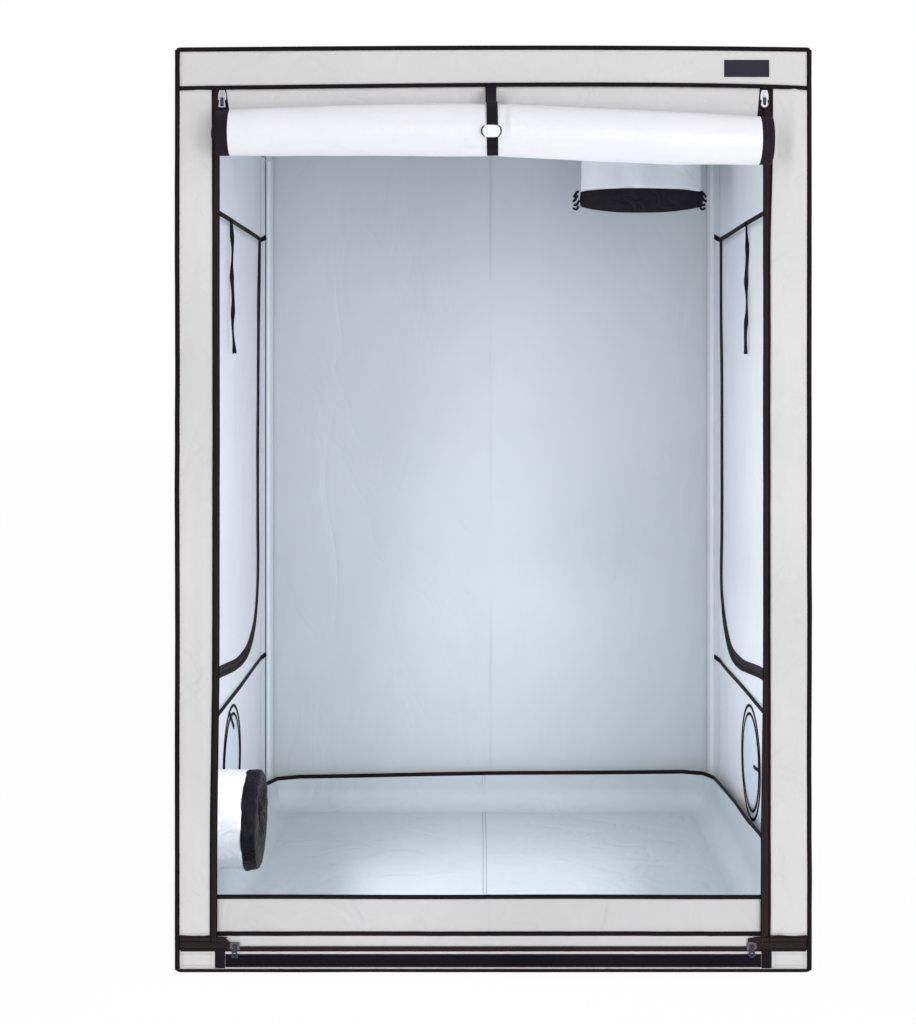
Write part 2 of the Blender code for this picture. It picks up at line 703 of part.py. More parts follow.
def roll_section(radius_share, drop_share):
    """The rolled door's cross-section: a hanging stretch that runs on as a spiral."""
    centre_y, centre_z = roll_centre(radius_share, drop_share)
    outer = [(FRONT_IN, HEADER_LOW - FIT), (FRONT_IN, (HEADER_LOW + centre_z) / 2)]
    inner = [(FRONT_OUT, z) for _, z in outer]
    turns = [step / ROLL_OUTER_STEPS for step in range(ROLL_OUTER_STEPS)]
    inner_steps = ROLL_INNER_TURNS * ROLL_INNER_STEPS
    turns += [1 + step / ROLL_INNER_STEPS for step in range(inner_steps + 1)]
    for turn in turns:
        layer = (roll_radius(turn) - roll_radius(turn + 1)) * radius_share
        growth = min(1.0, turn / ROLL_GROWTH_SHARE)
        thickness = FABRIC + (layer - ROLL_LAYER_GAP - FABRIC) * growth
        radius = roll_radius(turn) * radius_share
        along_y_share, along_z_share = math.cos(math.tau * turn), -math.sin(math.tau * turn)
        for edge, reach in ((outer, radius), (inner, radius - thickness)):
            edge.append((centre_y + reach * along_y_share, centre_z + reach * along_z_share))
    return outer + inner[::-1]


def make_front_door():
    """The door hangs from the header and is rolled outwards, so its inner face shows."""
    hanging_half = DOORWAY_HALF_WIDTH - DOOR_SIDE_GAP
    rings = []
    for place, radius_share, drop in zip(ROLL_PLACE_SHARES, ROLL_RADIUS_SHARES, ROLL_DROP_SHARES):
        section = roll_section(radius_share, drop)
        ring = []
        for y, z in section:
            spread = min(max((FRONT_OUT - y) / ROLL_RADIUS, 0) * ROLL_SPREAD_SHARE, 1)
            half = hanging_half + (ROLL_HALF_LENGTH - hanging_half) * spread
            ring.append((place * half, y, z))
        rings.append(ring)
    add_part("front_door", "door_fabric", [skin(rings)])


def strap_point(angle):
    """A point of the strap's back face, just off the roll, at an angle from +Y through +Z."""
    share = ROLL_RADIUS_SHARES[STRAP_STATION]
    centre_y, centre_z = roll_centre(share, ROLL_DROP_SHARES[STRAP_STATION])
    half_step = math.radians((STRAP_END_ANGLE - STRAP_TOUCH_ANGLE) / STRAP_STEPS / 2)
    radius = (roll_radius(1 - angle / 360) * share + FIT) / math.cos(half_step)
    turn = math.radians(angle)
    return centre_y + radius * math.cos(turn), centre_z + radius * math.sin(turn)


def strap_path():
    """The strap's back face in (y, z): from the header binding, over the roll and under it."""
    face = FRONT_OUT - SEAM_PROUD - FIT
    start = (face, HEADER_LOW + SEAM_WIDTH / 2)
    angles = [STRAP_TOUCH_ANGLE + (STRAP_END_ANGLE - STRAP_TOUCH_ANGLE) * step / STRAP_STEPS
              for step in range(STRAP_STEPS + 1)]
    return [(face, HEADER_LOW + SEAM_WIDTH), start] + [strap_point(angle) for angle in angles]


def ribbon(path, thickness, low, high):
    """A flat band along a path in (y, z), from x low to x high, thick to the path's left."""
    rings = []
    for i, (y, z) in enumerate(path):
        before, after = path[max(i - 1, 0)], path[min(i + 1, len(path) - 1)]
        run = Vector((after[0] - before[0], after[1] - before[1])).normalized()
        out_y, out_z = y + run.y * thickness, z - run.x * thickness
        rings.append([(low, y, z), (high, y, z), (high, out_y, out_z), (low, out_y, out_z)])
    return skin(rings)


def make_strap():
    half = STRAP_WIDTH / 2
    strap = ribbon(strap_path(), STRAP_THICKNESS, STRAP_PLACE - half, STRAP_PLACE + half)
    add_part("door_strap", "black_tape", [strap])


def make_toggle():
    """The oval toggle button that holds the strap's loop."""
    back = min(y for y, _ in strap_path()) - STRAP_THICKNESS - FIT
    radius = TOGGLE_HEIGHT / 2
    offset = TOGGLE_LENGTH / 2 - radius
    edge = TOGGLE_THICKNESS / 4
    rings = []
    for depth, inset in ((0, edge), (edge, 0), (TOGGLE_THICKNESS - edge, 0), (TOGGLE_THICKNESS, edge)):
        right = arc((STRAP_PLACE + offset, TOGGLE_CENTRE_HEIGHT), radius - inset, -90, 90, TOGGLE_SIDES)
        left = arc((STRAP_PLACE - offset, TOGGLE_CENTRE_HEIGHT), radius - inset, 90, 270, TOGGLE_SIDES)
        rings.append([(x, back - depth, z) for x, z in right + left])
    pivot = (STRAP_PLACE, back - TOGGLE_THICKNESS / 2, TOGGLE_CENTRE_HEIGHT)
    add_part("strap_toggle", "toggle_plastic", [skin(rings)], origin=pivot)


# Zip sliders and pulls

def slider_solids(place, foot):
    """A slider in its own frame: a across the zip, b along it, c out of the fabric.

    c is zero at the outer face of the coil. foot is the sign of b at the wide end.
    """
    wide, narrow = SLIDER_WIDTH / 2, SLIDER_NARROW / 2
    end = SLIDER_LENGTH / 2
    outline = [(-wide, end * foot), (wide, end * foot), (wide, 0), (narrow, -end * foot),
               (-narrow, -end * foot), (-wide, 0)]
    back = -COIL_THICKNESS - FIT
    neck, tall = SLIDER_NECK_WIDTH / 2, SLIDER_NECK_LENGTH / 2
    stem = [(-neck, -tall), (neck, -tall), (neck, tall), (-neck, tall)]
    half_crown, wall, top = CROWN_LENGTH / 2, CROWN_BAR, CROWN_GAP + CROWN_BAR
    arch = [(-half_crown, -wall / 2), (-half_crown, CROWN_GAP), (-half_crown + wall, top),
            (half_crown - wall, top), (half_crown, CROWN_GAP), (half_crown, -wall / 2),
            (half_crown - wall, -wall / 2), (half_crown - wall, CROWN_GAP),
            (-half_crown + wall, CROWN_GAP), (-half_crown + wall, -wall / 2)]
    face = FIT + SLIDER_PLATE
    half = CROWN_WIDTH / 2
    plates = [(FIT, face), (back - SLIDER_PLATE, back)]
    solids = [skin([[place(a, b, c) for a, b in outline] for c in pair]) for pair in plates]
    overlap = SLIDER_PLATE / 2
    levels = (back - overlap, FIT + overlap)
    solids.append(skin([[place(a, b, c) for a, b in stem] for c in levels]))
    solids.append(skin([[place(a, b, face + c) for b, c in arch] for a in (-half, half)]))
    return solids


def pull_foot(half, foot, shape):
    """The lower end of a pull's outline, right to left, with round corners."""
    corner = half * PULL_CORNER_SHARES[shape]
    right = arc((half - corner, foot + corner), corner, 0, -90, PULL_CORNER_STEPS)
    return right + [(-a, b) for a, b in right[::-1]]


def pull_solids(place, shape):
    """A pull that hangs from the crown, in the same frame, and the windows in it."""
    c = FIT + SLIDER_PLATE + CROWN_AXIS
    levels = (c - PULL_THICKNESS / 2, c + PULL_THICKNESS / 2)
    top, waist, half = PULL_BAR / 2, PULL_TOP_WIDTH / 2, PULL_WIDTH / 2
    foot = top - PULL_LENGTH
    shoulder = -PULL_BAR / 2 - PULL_EYE_LENGTH
    outline = [(-waist, top), (waist, top), (waist, shoulder)]
    outline += pull_foot(half, foot, shape) + [(-waist, shoulder)]
    eye = PULL_EYE_WIDTH / 2
    windows = [[(-eye, shoulder), (eye, shoulder), (eye, -PULL_BAR / 2), (-eye, -PULL_BAR / 2)]]
    middle = foot + PULL_WIDTH / 2
    if shape == "round":
        windows.append(circle((0, middle), PULL_HOLE_RADIUS, ROUND_SIDES))
    else:
        wide, tall = PULL_WINDOW_WIDTH / 2, PULL_WINDOW_LENGTH / 2
        windows.append([(-wide, middle - tall), (wide, middle - tall),
                        (wide, middle + tall), (-wide, middle + tall)])
    plate_solid = skin([[place(a, b, level) for a, b in outline] for level in levels])
    past = (levels[0] - OVERRUN, levels[1] + OVERRUN)
    cuts = [skin([[place(a, b, level) for a, b in window] for level in past]) for window in windows]
    return [plate_solid], cuts


def make_slider_pair(name, pull_name, centre, vertical, foot, shape):
    """A slider on the front face, centred at (x, z), and the pull that hangs from it."""
    x, z = centre
    face = coil_front()

    def upright(a, b, c):
        return (x + a, face - c, z + b)

    def lying(a, b, c):
        return (x + b, face - c, z + a)

    solids = slider_solids(upright if vertical else lying, foot)
    add_part(name, "slider_metal", solids, origin=(x, face, z))
    axis = CROWN_AXIS if vertical else CROWN_GAP + CROWN_BAR / 2
    pivot = (x, face - FIT - SLIDER_PLATE - axis, z)
    if vertical:
        solids, cuts = pull_solids(upright, shape)
    else:
        solids, cuts = looped_pull_solids(pivot, shape)
    add_part(pull_name, "slider_metal", solids, cuts, origin=pivot)


def looped_pull_solids(pivot, shape):
    """A pull whose loop goes round a lying crown, so that it still hangs down."""
    x, y, z = pivot
    bore = math.hypot(CROWN_WIDTH, CROWN_BAR) / 2 + FIT
    radius = bore + LOOP_WALL
    half = CROWN_LENGTH / 2 - CROWN_BAR - FIT - FIT
    loop = rod((y, z), radius, along_x, x - half, x + half)

    def hanging(a, b, c):
        return (x + a, y - c, z - bore - LOOP_WALL / 2 + b)

    waist, half_width = half * PULL_WAIST_SHARE, PULL_WIDTH / 2
    foot = PULL_EYE_LENGTH - PULL_LENGTH
    outline = [(-waist, 0), (waist, 0)] + pull_foot(half_width, foot, shape)
    levels = (-PULL_THICKNESS / 2, PULL_THICKNESS / 2)
    blade = skin([[hanging(a, b, c) for a, b in outline] for c in levels])
    window = circle((0, foot + half_width), PULL_HOLE_RADIUS, ROUND_SIDES)
    past = (-OVERRUN, OVERRUN)
    cuts = [
        rod((y, z), bore, along_x, x - half - OVERRUN, x + half + OVERRUN),
        skin([[hanging(a, b, c) for a, b in window] for c in past]),
    ]
    return [loop, blade], cuts


def make_front_sliders():
    reach = HALF_X - PANEL_INSET
    neck_side = SLIDER_NECK_WIDTH / 2 + FIT
    for label, side, shape in (("left", -1, "square"), ("right", 1, "round")):
        x = side * (DOORWAY_HALF_WIDTH - neck_side)
        z = HEADER_LOW - SLIDER_LENGTH / 2 - FIT
        names = (f"front_slider_{label}", f"front_pull_{label}")
        make_slider_pair(*names, (x, z), True, -1, shape)
        x = side * (reach - SILL_ZIP_REACH - SLIDER_NECK_LENGTH)
        z = SILL_HEIGHT + SILL_ZIP_HALF + neck_side
        names = (f"sill_slider_{label}", f"sill_pull_{label}")
        make_slider_pair(*names, (x, z), False, -side, shape)


def make_side_slider(label, side):
    """The slider of a side door's zip, with its tab, on the outside near the front top."""
    y = -SIDE_DOOR_HALF_WIDTH
    z = SIDE_DOOR_TOP - SIDE_SLIDER_DROP
    face = HALF_X - FABRIC_OUT + SEAM_PROUD + FIT
    end, wide, narrow = SLIDER_LENGTH / 2, SLIDER_WIDTH / 2, SLIDER_NARROW / 2
    outline = [(y - wide, z - end), (y + wide, z - end), (y + wide, z), (y + narrow, z + end),
               (y - narrow, z + end), (y - wide, z)]
    body = prism(outline, along_x, side * face, side * (face + SLIDER_PLATE))
    tab_face = face + SLIDER_PLATE
    tab = [(y - PULL_TOP_WIDTH / 2, z), (y + PULL_TOP_WIDTH / 2, z),
           (y + PULL_TOP_WIDTH / 2, z - PULL_LENGTH), (y - PULL_TOP_WIDTH / 2, z - PULL_LENGTH)]
    start = side * (tab_face - SLIDER_PLATE / 2)
    pull = prism(tab, along_x, start, side * (tab_face + PULL_THICKNESS))
    add_part(f"{label}_side_slider", "slider_metal", [body, pull], origin=(side * face, y, z))


# Soft pieces inside

# Roof sleeve, top to mouth: distance along it, width and depth of its section, as shares
ROOF_SLEEVE_SHARES = (
    (0.00, 1.00, 1.00), (0.06, 1.00, 1.00), (0.20, 1.28, 0.62), (0.36, 1.47, 0.34),
    (0.58, 1.52, 0.24), (0.80, 1.53, 0.20), (1.00, 1.54, 0.22),
)
# Wall sleeve, wall to mouth: distance, depth and height of its section, droop, ripple
WALL_SLEEVE_SHARES = (
    (0.00, 1.00, 1.00, 0.00, 0.000), (0.08, 1.00, 1.00, 0.00, 0.000),
    (0.35, 0.98, 1.00, 0.01, 0.010), (0.60, 0.97, 1.01, 0.02, 0.018),
    (0.78, 0.95, 1.01, 0.02, 0.024), (0.90, 0.94, 1.01, 0.03, 0.030),
    (1.00, 0.95, 1.00, 0.03, 0.022),
)
ROOF_MOUTH_BOW_SHARE = 0.07
ROOF_FOLD_SHARE = 0.10
ROOF_FOLDS = 3
WALL_FOLDS = 5
WALL_FOLD_TWIST = 3


def sleeve_solid(section, rows):
    """A cloth tube. section gives one point from a row, an angle and an inset."""
    angles = [math.tau * (i + 0.5) / SLEEVE_SIDES for i in range(SLEEVE_SIDES)]
    outer = [[section(row, angle, 0.0) for angle in angles] for row in rows]
    inner = [[section(row, angle, FABRIC) for angle in angles] for row in rows]
    return skin(outer + inner[::-1], wrap=True)


def roof_sleeve_point(row, angle, inset):
    distance, width, depth = row
    across, back = math.cos(angle), math.sin(angle)
    x = ROOF_SLEEVE_X + (DUCT_RADIUS * width - inset) * across
    y = ROOF_SLEEVE_Y + (DUCT_RADIUS * depth - inset) * back
    y += DUCT_RADIUS * ROOF_FOLD_SHARE * distance * math.sin(ROOF_FOLDS * angle) * across ** 2
    bow = ROOF_MOUTH_BOW_SHARE * distance * (1 - across * across)
    return (x, y, HEIGHT - FABRIC_OUT - ROOF_SLEEVE_LENGTH * (distance + bow))


def wall_sleeve_point(row, angle, inset):
    distance, depth, height, droop, ripple = row
    swell = 1 + ripple * math.sin(WALL_FOLDS * angle + WALL_FOLD_TWIST * distance)
    y = WALL_SLEEVE_Y + (DUCT_RADIUS * depth * swell - inset) * math.cos(angle)
    z = WALL_SLEEVE_Z + (DUCT_RADIUS * height * swell - inset) * math.sin(angle)
    x = -HALF_X + FABRIC_OUT + WALL_SLEEVE_LENGTH * distance
    return (x, y, z - DUCT_RADIUS * droop)


def make_sleeves():
    roof_sleeve = sleeve_solid(roof_sleeve_point, ROOF_SLEEVE_SHARES)
    add_part("roof_sleeve", "sleeve_fabric", [roof_sleeve])
    wall_sleeve = sleeve_solid(wall_sleeve_point, WALL_SLEEVE_SHARES)
    add_part("wall_sleeve", "sleeve_fabric", [wall_sleeve])


# Sway of a tie from its top to its foot, as a share of TIE_SWAY
TIE_SWAY_SHARES = (0.0, 0.10, 0.45, 0.60, 0.25, -0.05, 0.20, 0.75, 1.0)


def make_tie(label, side, place):
    """A flat tie that hangs from the binding above a side door."""
    top = SIDE_TOP_SEAM
    edge = HALF_X - FABRIC_IN - SEAM_PROUD - FIT
    last = len(TIE_SWAY_SHARES) - 1
    rings = []
    for i, share in enumerate(TIE_SWAY_SHARES):
        sway = TIE_SWAY * share
        z = top - TIE_LENGTH * i / last
        near, far = side * (edge - TIE_WIDTH - sway), side * (edge - sway)
        start, end = place + sway, place + sway + WEBBING
        rings.append([(near, start, z), (far, start, z), (far, end, z), (near, end, z)])
    add_part(f"{label}_tie", "black_tape", [skin(rings)])


# Stations along a side of the tray, front to back, and where its wall starts to change height
TRAY_SIDE_SHARES = (-1.0, -0.8, 0.0, 0.5, 0.75, 0.9, 1.0)
TRAY_BACK_SHARE = 0.5
TRAY_FRONT_SHARE = -0.8


def tray_height(x_share, y_share):
    """Height of the tray's wall at a point of its edge, as the cloth stands."""
    if y_share >= 1:
        return TRAY_BACK_HEIGHT
    side = TRAY_RIGHT_HEIGHT if x_share > 0 else TRAY_LEFT_HEIGHT
    if y_share <= -1:
        return TRAY_FRONT_HEIGHT
    back = max(0, (y_share - TRAY_BACK_SHARE) / (1 - TRAY_BACK_SHARE))
    front = max(0, (TRAY_FRONT_SHARE - y_share) / (1 + TRAY_FRONT_SHARE))
    rise = side + (TRAY_BACK_HEIGHT - side) * back * back
    return rise + (TRAY_FRONT_HEIGHT - side) * front


def make_tray():
    """The removable tray: a base with four soft walls, bound along the rim."""
    half_x = FRAME_X - SOCKET_RADIUS - TRAY_SLACK - SEAM_PROUD
    half_y = FRAME_Y - SOCKET_RADIUS - TRAY_SLACK - SEAM_PROUD
    edge = [(1, share) for share in TRAY_SIDE_SHARES]
    edge += [(-1, share) for share in TRAY_SIDE_SHARES[::-1]]
    base = FABRIC + FIT
    reach = min(half_x, half_y)

    def loop(inset, drop):
        shrink = 1 - inset / reach
        return [(x * half_x * shrink, y * half_y * shrink, tray_height(x, y) - drop) for x, y in edge]

    def floor_loop(inset, z):
        return [(x, y, z) for x, y, _ in loop(inset, 0)]

    rings = [
        floor_loop(0, base), loop(0, TRAY_RIM), loop(-SEAM_PROUD, TRAY_RIM), loop(-SEAM_PROUD, 0),
        loop(FABRIC + SEAM_PROUD, 0), loop(FABRIC + SEAM_PROUD, TRAY_RIM), loop(FABRIC, TRAY_RIM),
        floor_loop(FABRIC, base + FABRIC),
    ]
    add_part("floor_tray", "inner_fabric", [skin(rings)])


def build_tent():
    clear_scene()
    make_posts()
    make_bars()
    make_corners()
    make_hanging_bars()
    make_roof()
    make_floor_sheet()
    make_rear_wall()
    for label, side, tie_place in (("left", -1, LEFT_TIE_PLACE), ("right", 1, RIGHT_TIE_PLACE)):
        make_side_wall(label, side)
        make_side_door(label, side)
        make_wall_base(label, side)
        make_vent_cover(label, side)
        make_side_slider(label, side)
        make_tie(label, side, tie_place)
        make_jamb(label, side)
        make_front_zip(label, side)
    make_header()
    make_sill()
    make_hook_strip()
    make_sill_zip()
    make_lip()
    make_front_sliders()
    make_front_door()
    make_strap()
    make_toggle()
    make_sleeves()
    make_tray()


build_tent()
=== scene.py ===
"""Indoor grow tent, dressed for its picture: grey canvas outside, pale satin lining inside.

Metres, +Z up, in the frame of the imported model. The doorway faces -Y.
"""

import json
import math

import bpy
import numpy as np
from mathutils import Vector, noise
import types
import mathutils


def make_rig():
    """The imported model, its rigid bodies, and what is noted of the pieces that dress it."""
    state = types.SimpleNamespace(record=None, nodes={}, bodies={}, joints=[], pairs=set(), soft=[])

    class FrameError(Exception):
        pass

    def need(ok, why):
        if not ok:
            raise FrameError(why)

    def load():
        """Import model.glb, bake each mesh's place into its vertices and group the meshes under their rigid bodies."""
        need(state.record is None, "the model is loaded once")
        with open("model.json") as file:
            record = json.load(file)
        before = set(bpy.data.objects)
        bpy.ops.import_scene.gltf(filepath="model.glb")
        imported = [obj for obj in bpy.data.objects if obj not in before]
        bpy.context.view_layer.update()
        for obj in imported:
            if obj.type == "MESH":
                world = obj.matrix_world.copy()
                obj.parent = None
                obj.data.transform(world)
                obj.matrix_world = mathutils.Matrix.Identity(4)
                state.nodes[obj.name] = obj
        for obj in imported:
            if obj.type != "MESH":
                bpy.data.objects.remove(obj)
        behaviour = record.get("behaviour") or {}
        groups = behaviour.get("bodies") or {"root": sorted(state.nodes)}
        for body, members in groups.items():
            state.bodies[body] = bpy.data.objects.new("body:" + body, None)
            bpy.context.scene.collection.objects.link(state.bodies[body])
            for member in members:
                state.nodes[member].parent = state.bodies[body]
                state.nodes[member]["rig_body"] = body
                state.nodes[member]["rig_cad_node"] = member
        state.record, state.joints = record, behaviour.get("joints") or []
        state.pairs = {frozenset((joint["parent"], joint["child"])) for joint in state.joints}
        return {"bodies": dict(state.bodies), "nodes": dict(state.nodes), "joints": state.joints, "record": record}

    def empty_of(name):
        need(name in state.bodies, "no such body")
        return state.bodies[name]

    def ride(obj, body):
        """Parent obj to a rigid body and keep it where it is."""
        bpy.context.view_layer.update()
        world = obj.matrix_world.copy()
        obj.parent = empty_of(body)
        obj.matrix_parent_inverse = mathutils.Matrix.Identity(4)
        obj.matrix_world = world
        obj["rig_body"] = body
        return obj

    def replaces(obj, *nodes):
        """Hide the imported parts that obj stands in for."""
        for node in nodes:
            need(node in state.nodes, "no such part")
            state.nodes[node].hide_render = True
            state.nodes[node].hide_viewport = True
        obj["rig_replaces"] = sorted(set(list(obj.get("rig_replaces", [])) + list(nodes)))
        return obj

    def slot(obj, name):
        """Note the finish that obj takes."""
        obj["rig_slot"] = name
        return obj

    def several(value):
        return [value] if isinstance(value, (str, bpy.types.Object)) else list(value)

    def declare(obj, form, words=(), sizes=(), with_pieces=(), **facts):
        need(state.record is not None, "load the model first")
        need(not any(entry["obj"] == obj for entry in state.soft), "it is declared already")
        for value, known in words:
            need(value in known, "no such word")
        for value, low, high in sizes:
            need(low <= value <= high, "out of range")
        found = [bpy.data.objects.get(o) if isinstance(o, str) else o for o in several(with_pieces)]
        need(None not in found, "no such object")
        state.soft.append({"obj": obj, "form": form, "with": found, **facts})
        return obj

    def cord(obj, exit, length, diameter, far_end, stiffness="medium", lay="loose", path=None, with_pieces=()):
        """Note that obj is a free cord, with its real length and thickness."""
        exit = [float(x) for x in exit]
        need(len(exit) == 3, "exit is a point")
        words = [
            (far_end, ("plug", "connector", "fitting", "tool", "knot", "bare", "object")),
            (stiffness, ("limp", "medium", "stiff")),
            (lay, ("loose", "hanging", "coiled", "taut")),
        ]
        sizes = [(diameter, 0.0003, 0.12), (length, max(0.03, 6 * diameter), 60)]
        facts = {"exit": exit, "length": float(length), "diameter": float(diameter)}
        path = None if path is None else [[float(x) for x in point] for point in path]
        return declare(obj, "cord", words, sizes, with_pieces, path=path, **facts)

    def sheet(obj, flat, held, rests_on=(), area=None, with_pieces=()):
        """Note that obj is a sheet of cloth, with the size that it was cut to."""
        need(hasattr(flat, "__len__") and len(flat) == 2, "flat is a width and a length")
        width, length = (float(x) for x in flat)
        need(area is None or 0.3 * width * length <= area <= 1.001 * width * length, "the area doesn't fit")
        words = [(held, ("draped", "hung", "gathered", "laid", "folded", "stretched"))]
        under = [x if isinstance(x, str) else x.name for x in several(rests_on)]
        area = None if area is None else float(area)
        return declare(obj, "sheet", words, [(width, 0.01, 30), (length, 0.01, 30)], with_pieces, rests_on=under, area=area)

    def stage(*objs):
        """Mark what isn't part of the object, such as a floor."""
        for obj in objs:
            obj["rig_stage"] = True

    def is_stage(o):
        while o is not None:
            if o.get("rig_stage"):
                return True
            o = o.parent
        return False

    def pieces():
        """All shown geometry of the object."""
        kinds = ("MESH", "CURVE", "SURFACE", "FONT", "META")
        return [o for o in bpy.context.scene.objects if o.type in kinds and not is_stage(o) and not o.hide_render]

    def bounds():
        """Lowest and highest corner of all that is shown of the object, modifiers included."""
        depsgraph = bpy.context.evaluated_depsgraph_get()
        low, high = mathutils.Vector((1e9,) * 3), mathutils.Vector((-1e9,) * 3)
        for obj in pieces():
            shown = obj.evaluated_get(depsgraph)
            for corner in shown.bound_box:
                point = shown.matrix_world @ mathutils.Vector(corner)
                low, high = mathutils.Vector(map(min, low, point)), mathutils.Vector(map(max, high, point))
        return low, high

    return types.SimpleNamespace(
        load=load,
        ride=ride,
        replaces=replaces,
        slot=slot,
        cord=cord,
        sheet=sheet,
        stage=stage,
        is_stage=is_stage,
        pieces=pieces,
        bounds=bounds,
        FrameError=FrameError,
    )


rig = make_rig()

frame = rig.load()
CAD_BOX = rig.bounds()
ROOT = "cabin"
SIDE_SIGN = {"left": -1, "right": 1}
FORWARD = (0, -1, 0)
DIAGONAL = 0.7071

# Cabin and its cloth
TALL = 2.185
CLOTH = 0.0010
CLOTH_PLANE = 0.7477
SEAM = 0.0120
PANEL_EDGE = 0.7425
HEADER_LOW = 2.083
TOP_BOW = 0.0045
HEADER_BOW = 0.0085
HEADER_REACH = 0.745

# Doorway, its zips, and the Y of each layer over the front cloth
ZIP_CENTRE = 0.0633
TAPE_EDGES = {"left": (-0.6608, -0.6462), "right": (0.6373, 0.6522)}
LAYER = {"sill tape": -0.7488, "zip tape": -0.7489, "binding": -0.7493, "hook pile": -0.7495,
         "closed tape": -0.7496, "zip cord": -0.7499, "edging": -0.7500, "sewn on": -0.7501,
         "hook stitches": -0.7502, "zip coil": -0.7503, "closed edges": -0.7504,
         "closed coil": -0.7508, "tape stitches": -0.7513, "binding stitches": -0.7517}

# Side doors, vents and duct ports
SIDE_SEAM = 1.855
LOW_SEAM = 0.490
SIDE_DOOR_HALF = 0.660
SIDE_DOOR_TOP = 1.8476
SIDE_DOOR_LOW = 0.580
SIDE_DOOR_CORNER = 0.300
VENT = (0.090, 0.300)
VENT_NET = 0.1345
VENT_COVER = 0.150
WALL_PORT = (-0.450, 0.282)
ROOF_PORT = (0.456, 0.400)
PORT_RADIUS = 0.1253
DUCT_GIRTH = 0.785


def camera_in_front():
    """The photograph's camera: level, square on to the doorway, and shifted to frame it."""
    data = bpy.data.cameras.new("front camera")
    data.sensor_width = 36
    data.lens = 57.06
    data.shift_x = -0.0242
    data.shift_y = -0.12866
    data.clip_end = 60
    camera = bpy.data.objects.new("front camera", data)
    camera.location = (-0.0248, -4.58, 1.3985)
    camera.rotation_euler = (math.pi / 2, 0, 0)
    bpy.context.scene.collection.objects.link(camera)
    bpy.context.scene.camera = camera


# Sums that several pieces share

def spread(low, high, count):
    return [low + (high - low) * i / count for i in range(count + 1)]


def held_in(value, low=0.0, high=1.0):
    return min(high, max(low, value))


def eased(share):
    """From 0 to 1 with a soft start and end."""
    share = held_in(share)
    return share * share * (3 - 2 * share)


def bump_at(value, centre, width):
    """1 at the centre, falling softly to 0 over a few widths."""
    return math.exp(-((value - centre) / width) ** 2)


def ripple(a, b, c):
    """Smooth noise from -1 to 1."""
    return noise.noise(Vector((a, b, c)))


def circle(centre, radius, count, last=0):
    """Points round a circle; last=1 repeats the first one at the end."""
    return [(centre[0] + radius * math.cos(a), centre[1] + radius * math.sin(a))
            for a in (math.tau * k / count for k in range(count + last))]


# Shader groups: effects that several finishes share

def new_group(name, inputs, outputs):
    group = bpy.data.node_groups.new(name, "ShaderNodeTree")
    for socket, kind, value in inputs:
        made = group.interface.new_socket(socket, in_out="INPUT", socket_type=kind)
        if value is not None:
            made.default_value = value
    for socket, kind in outputs:
        group.interface.new_socket(socket, in_out="OUTPUT", socket_type=kind)
    return group, group.nodes.new("NodeGroupInput"), group.nodes.new("NodeGroupOutput")


def node(tree, kind, links=(), **settings):
    """Add a node. links pairs an input's name or number with a socket or a value."""
    made = tree.nodes.new(kind)
    for key, value in settings.items():
        setattr(made, key, value)
    for key, value in links:
        if isinstance(value, bpy.types.NodeSocket):
            tree.links.new(value, made.inputs[key])
        else:
            made.inputs[key].default_value = value
    return made


def placed_group(tree, name, links):
    return node(tree, "ShaderNodeGroup", links, node_tree=bpy.data.node_groups[name])


def maths(tree, operation, *values):
    return node(tree, "ShaderNodeMath", list(enumerate(values)), operation=operation).outputs[0]


def weave_group():
    """Plain weave: threads that cross, as a height from 0 to 1."""
    group, given, result = new_group(
        "plain weave",
        [("Place", "NodeSocketVector", None), ("Threads per metre", "NodeSocketFloat", 900.0)],
        [("Height", "NodeSocketFloat")])
    split = node(group, "ShaderNodeSeparateXYZ", [(0, given.outputs["Place"])])
    count = given.outputs["Threads per metre"]
    waves = []
    for axis in (0, 1):
        threads = maths(group, "MULTIPLY", split.outputs[axis], count)
        waves.append(maths(group, "SINE", maths(group, "MULTIPLY", threads, math.pi)))
    crossed = maths(group, "MULTIPLY", *waves)
    group.links.new(maths(group, "MULTIPLY_ADD", crossed, 0.5, 0.5), result.inputs["Height"])
    return group


def crease_group():
    """Soft creases of cloth that was folded and now hangs, as a height about 0.5."""
    group, given, result = new_group(
        "soft creases",
        [("Place", "NodeSocketVector", None), ("Scale", "NodeSocketFloat", 9.0),
         ("Stretch", "NodeSocketVector", (1, 1, 1))],
        [("Height", "NodeSocketFloat")])
    turned = node(group, "ShaderNodeVectorMath",
                  [(0, given.outputs["Place"]), (1, given.outputs["Stretch"])],
                  operation="MULTIPLY")
    broad = node(group, "ShaderNodeTexNoise",
                 [("Vector", turned.outputs[0]), ("Scale", given.outputs["Scale"]),
                  ("Detail", 3.0), ("Roughness", 0.45), ("Distortion", 0.9)])
    ridge = maths(group, "ABSOLUTE", maths(group, "SUBTRACT", broad.outputs["Fac"], 0.5))
    sharp = maths(group, "SMOOTH_MIN", maths(group, "MULTIPLY", ridge, 3.0), 0.35, 0.3)
    half = maths(group, "MULTIPLY", broad.outputs["Fac"], 0.5)
    total = maths(group, "MULTIPLY_ADD", sharp, 0.9, half)
    group.links.new(total, result.inputs["Height"])
    return group


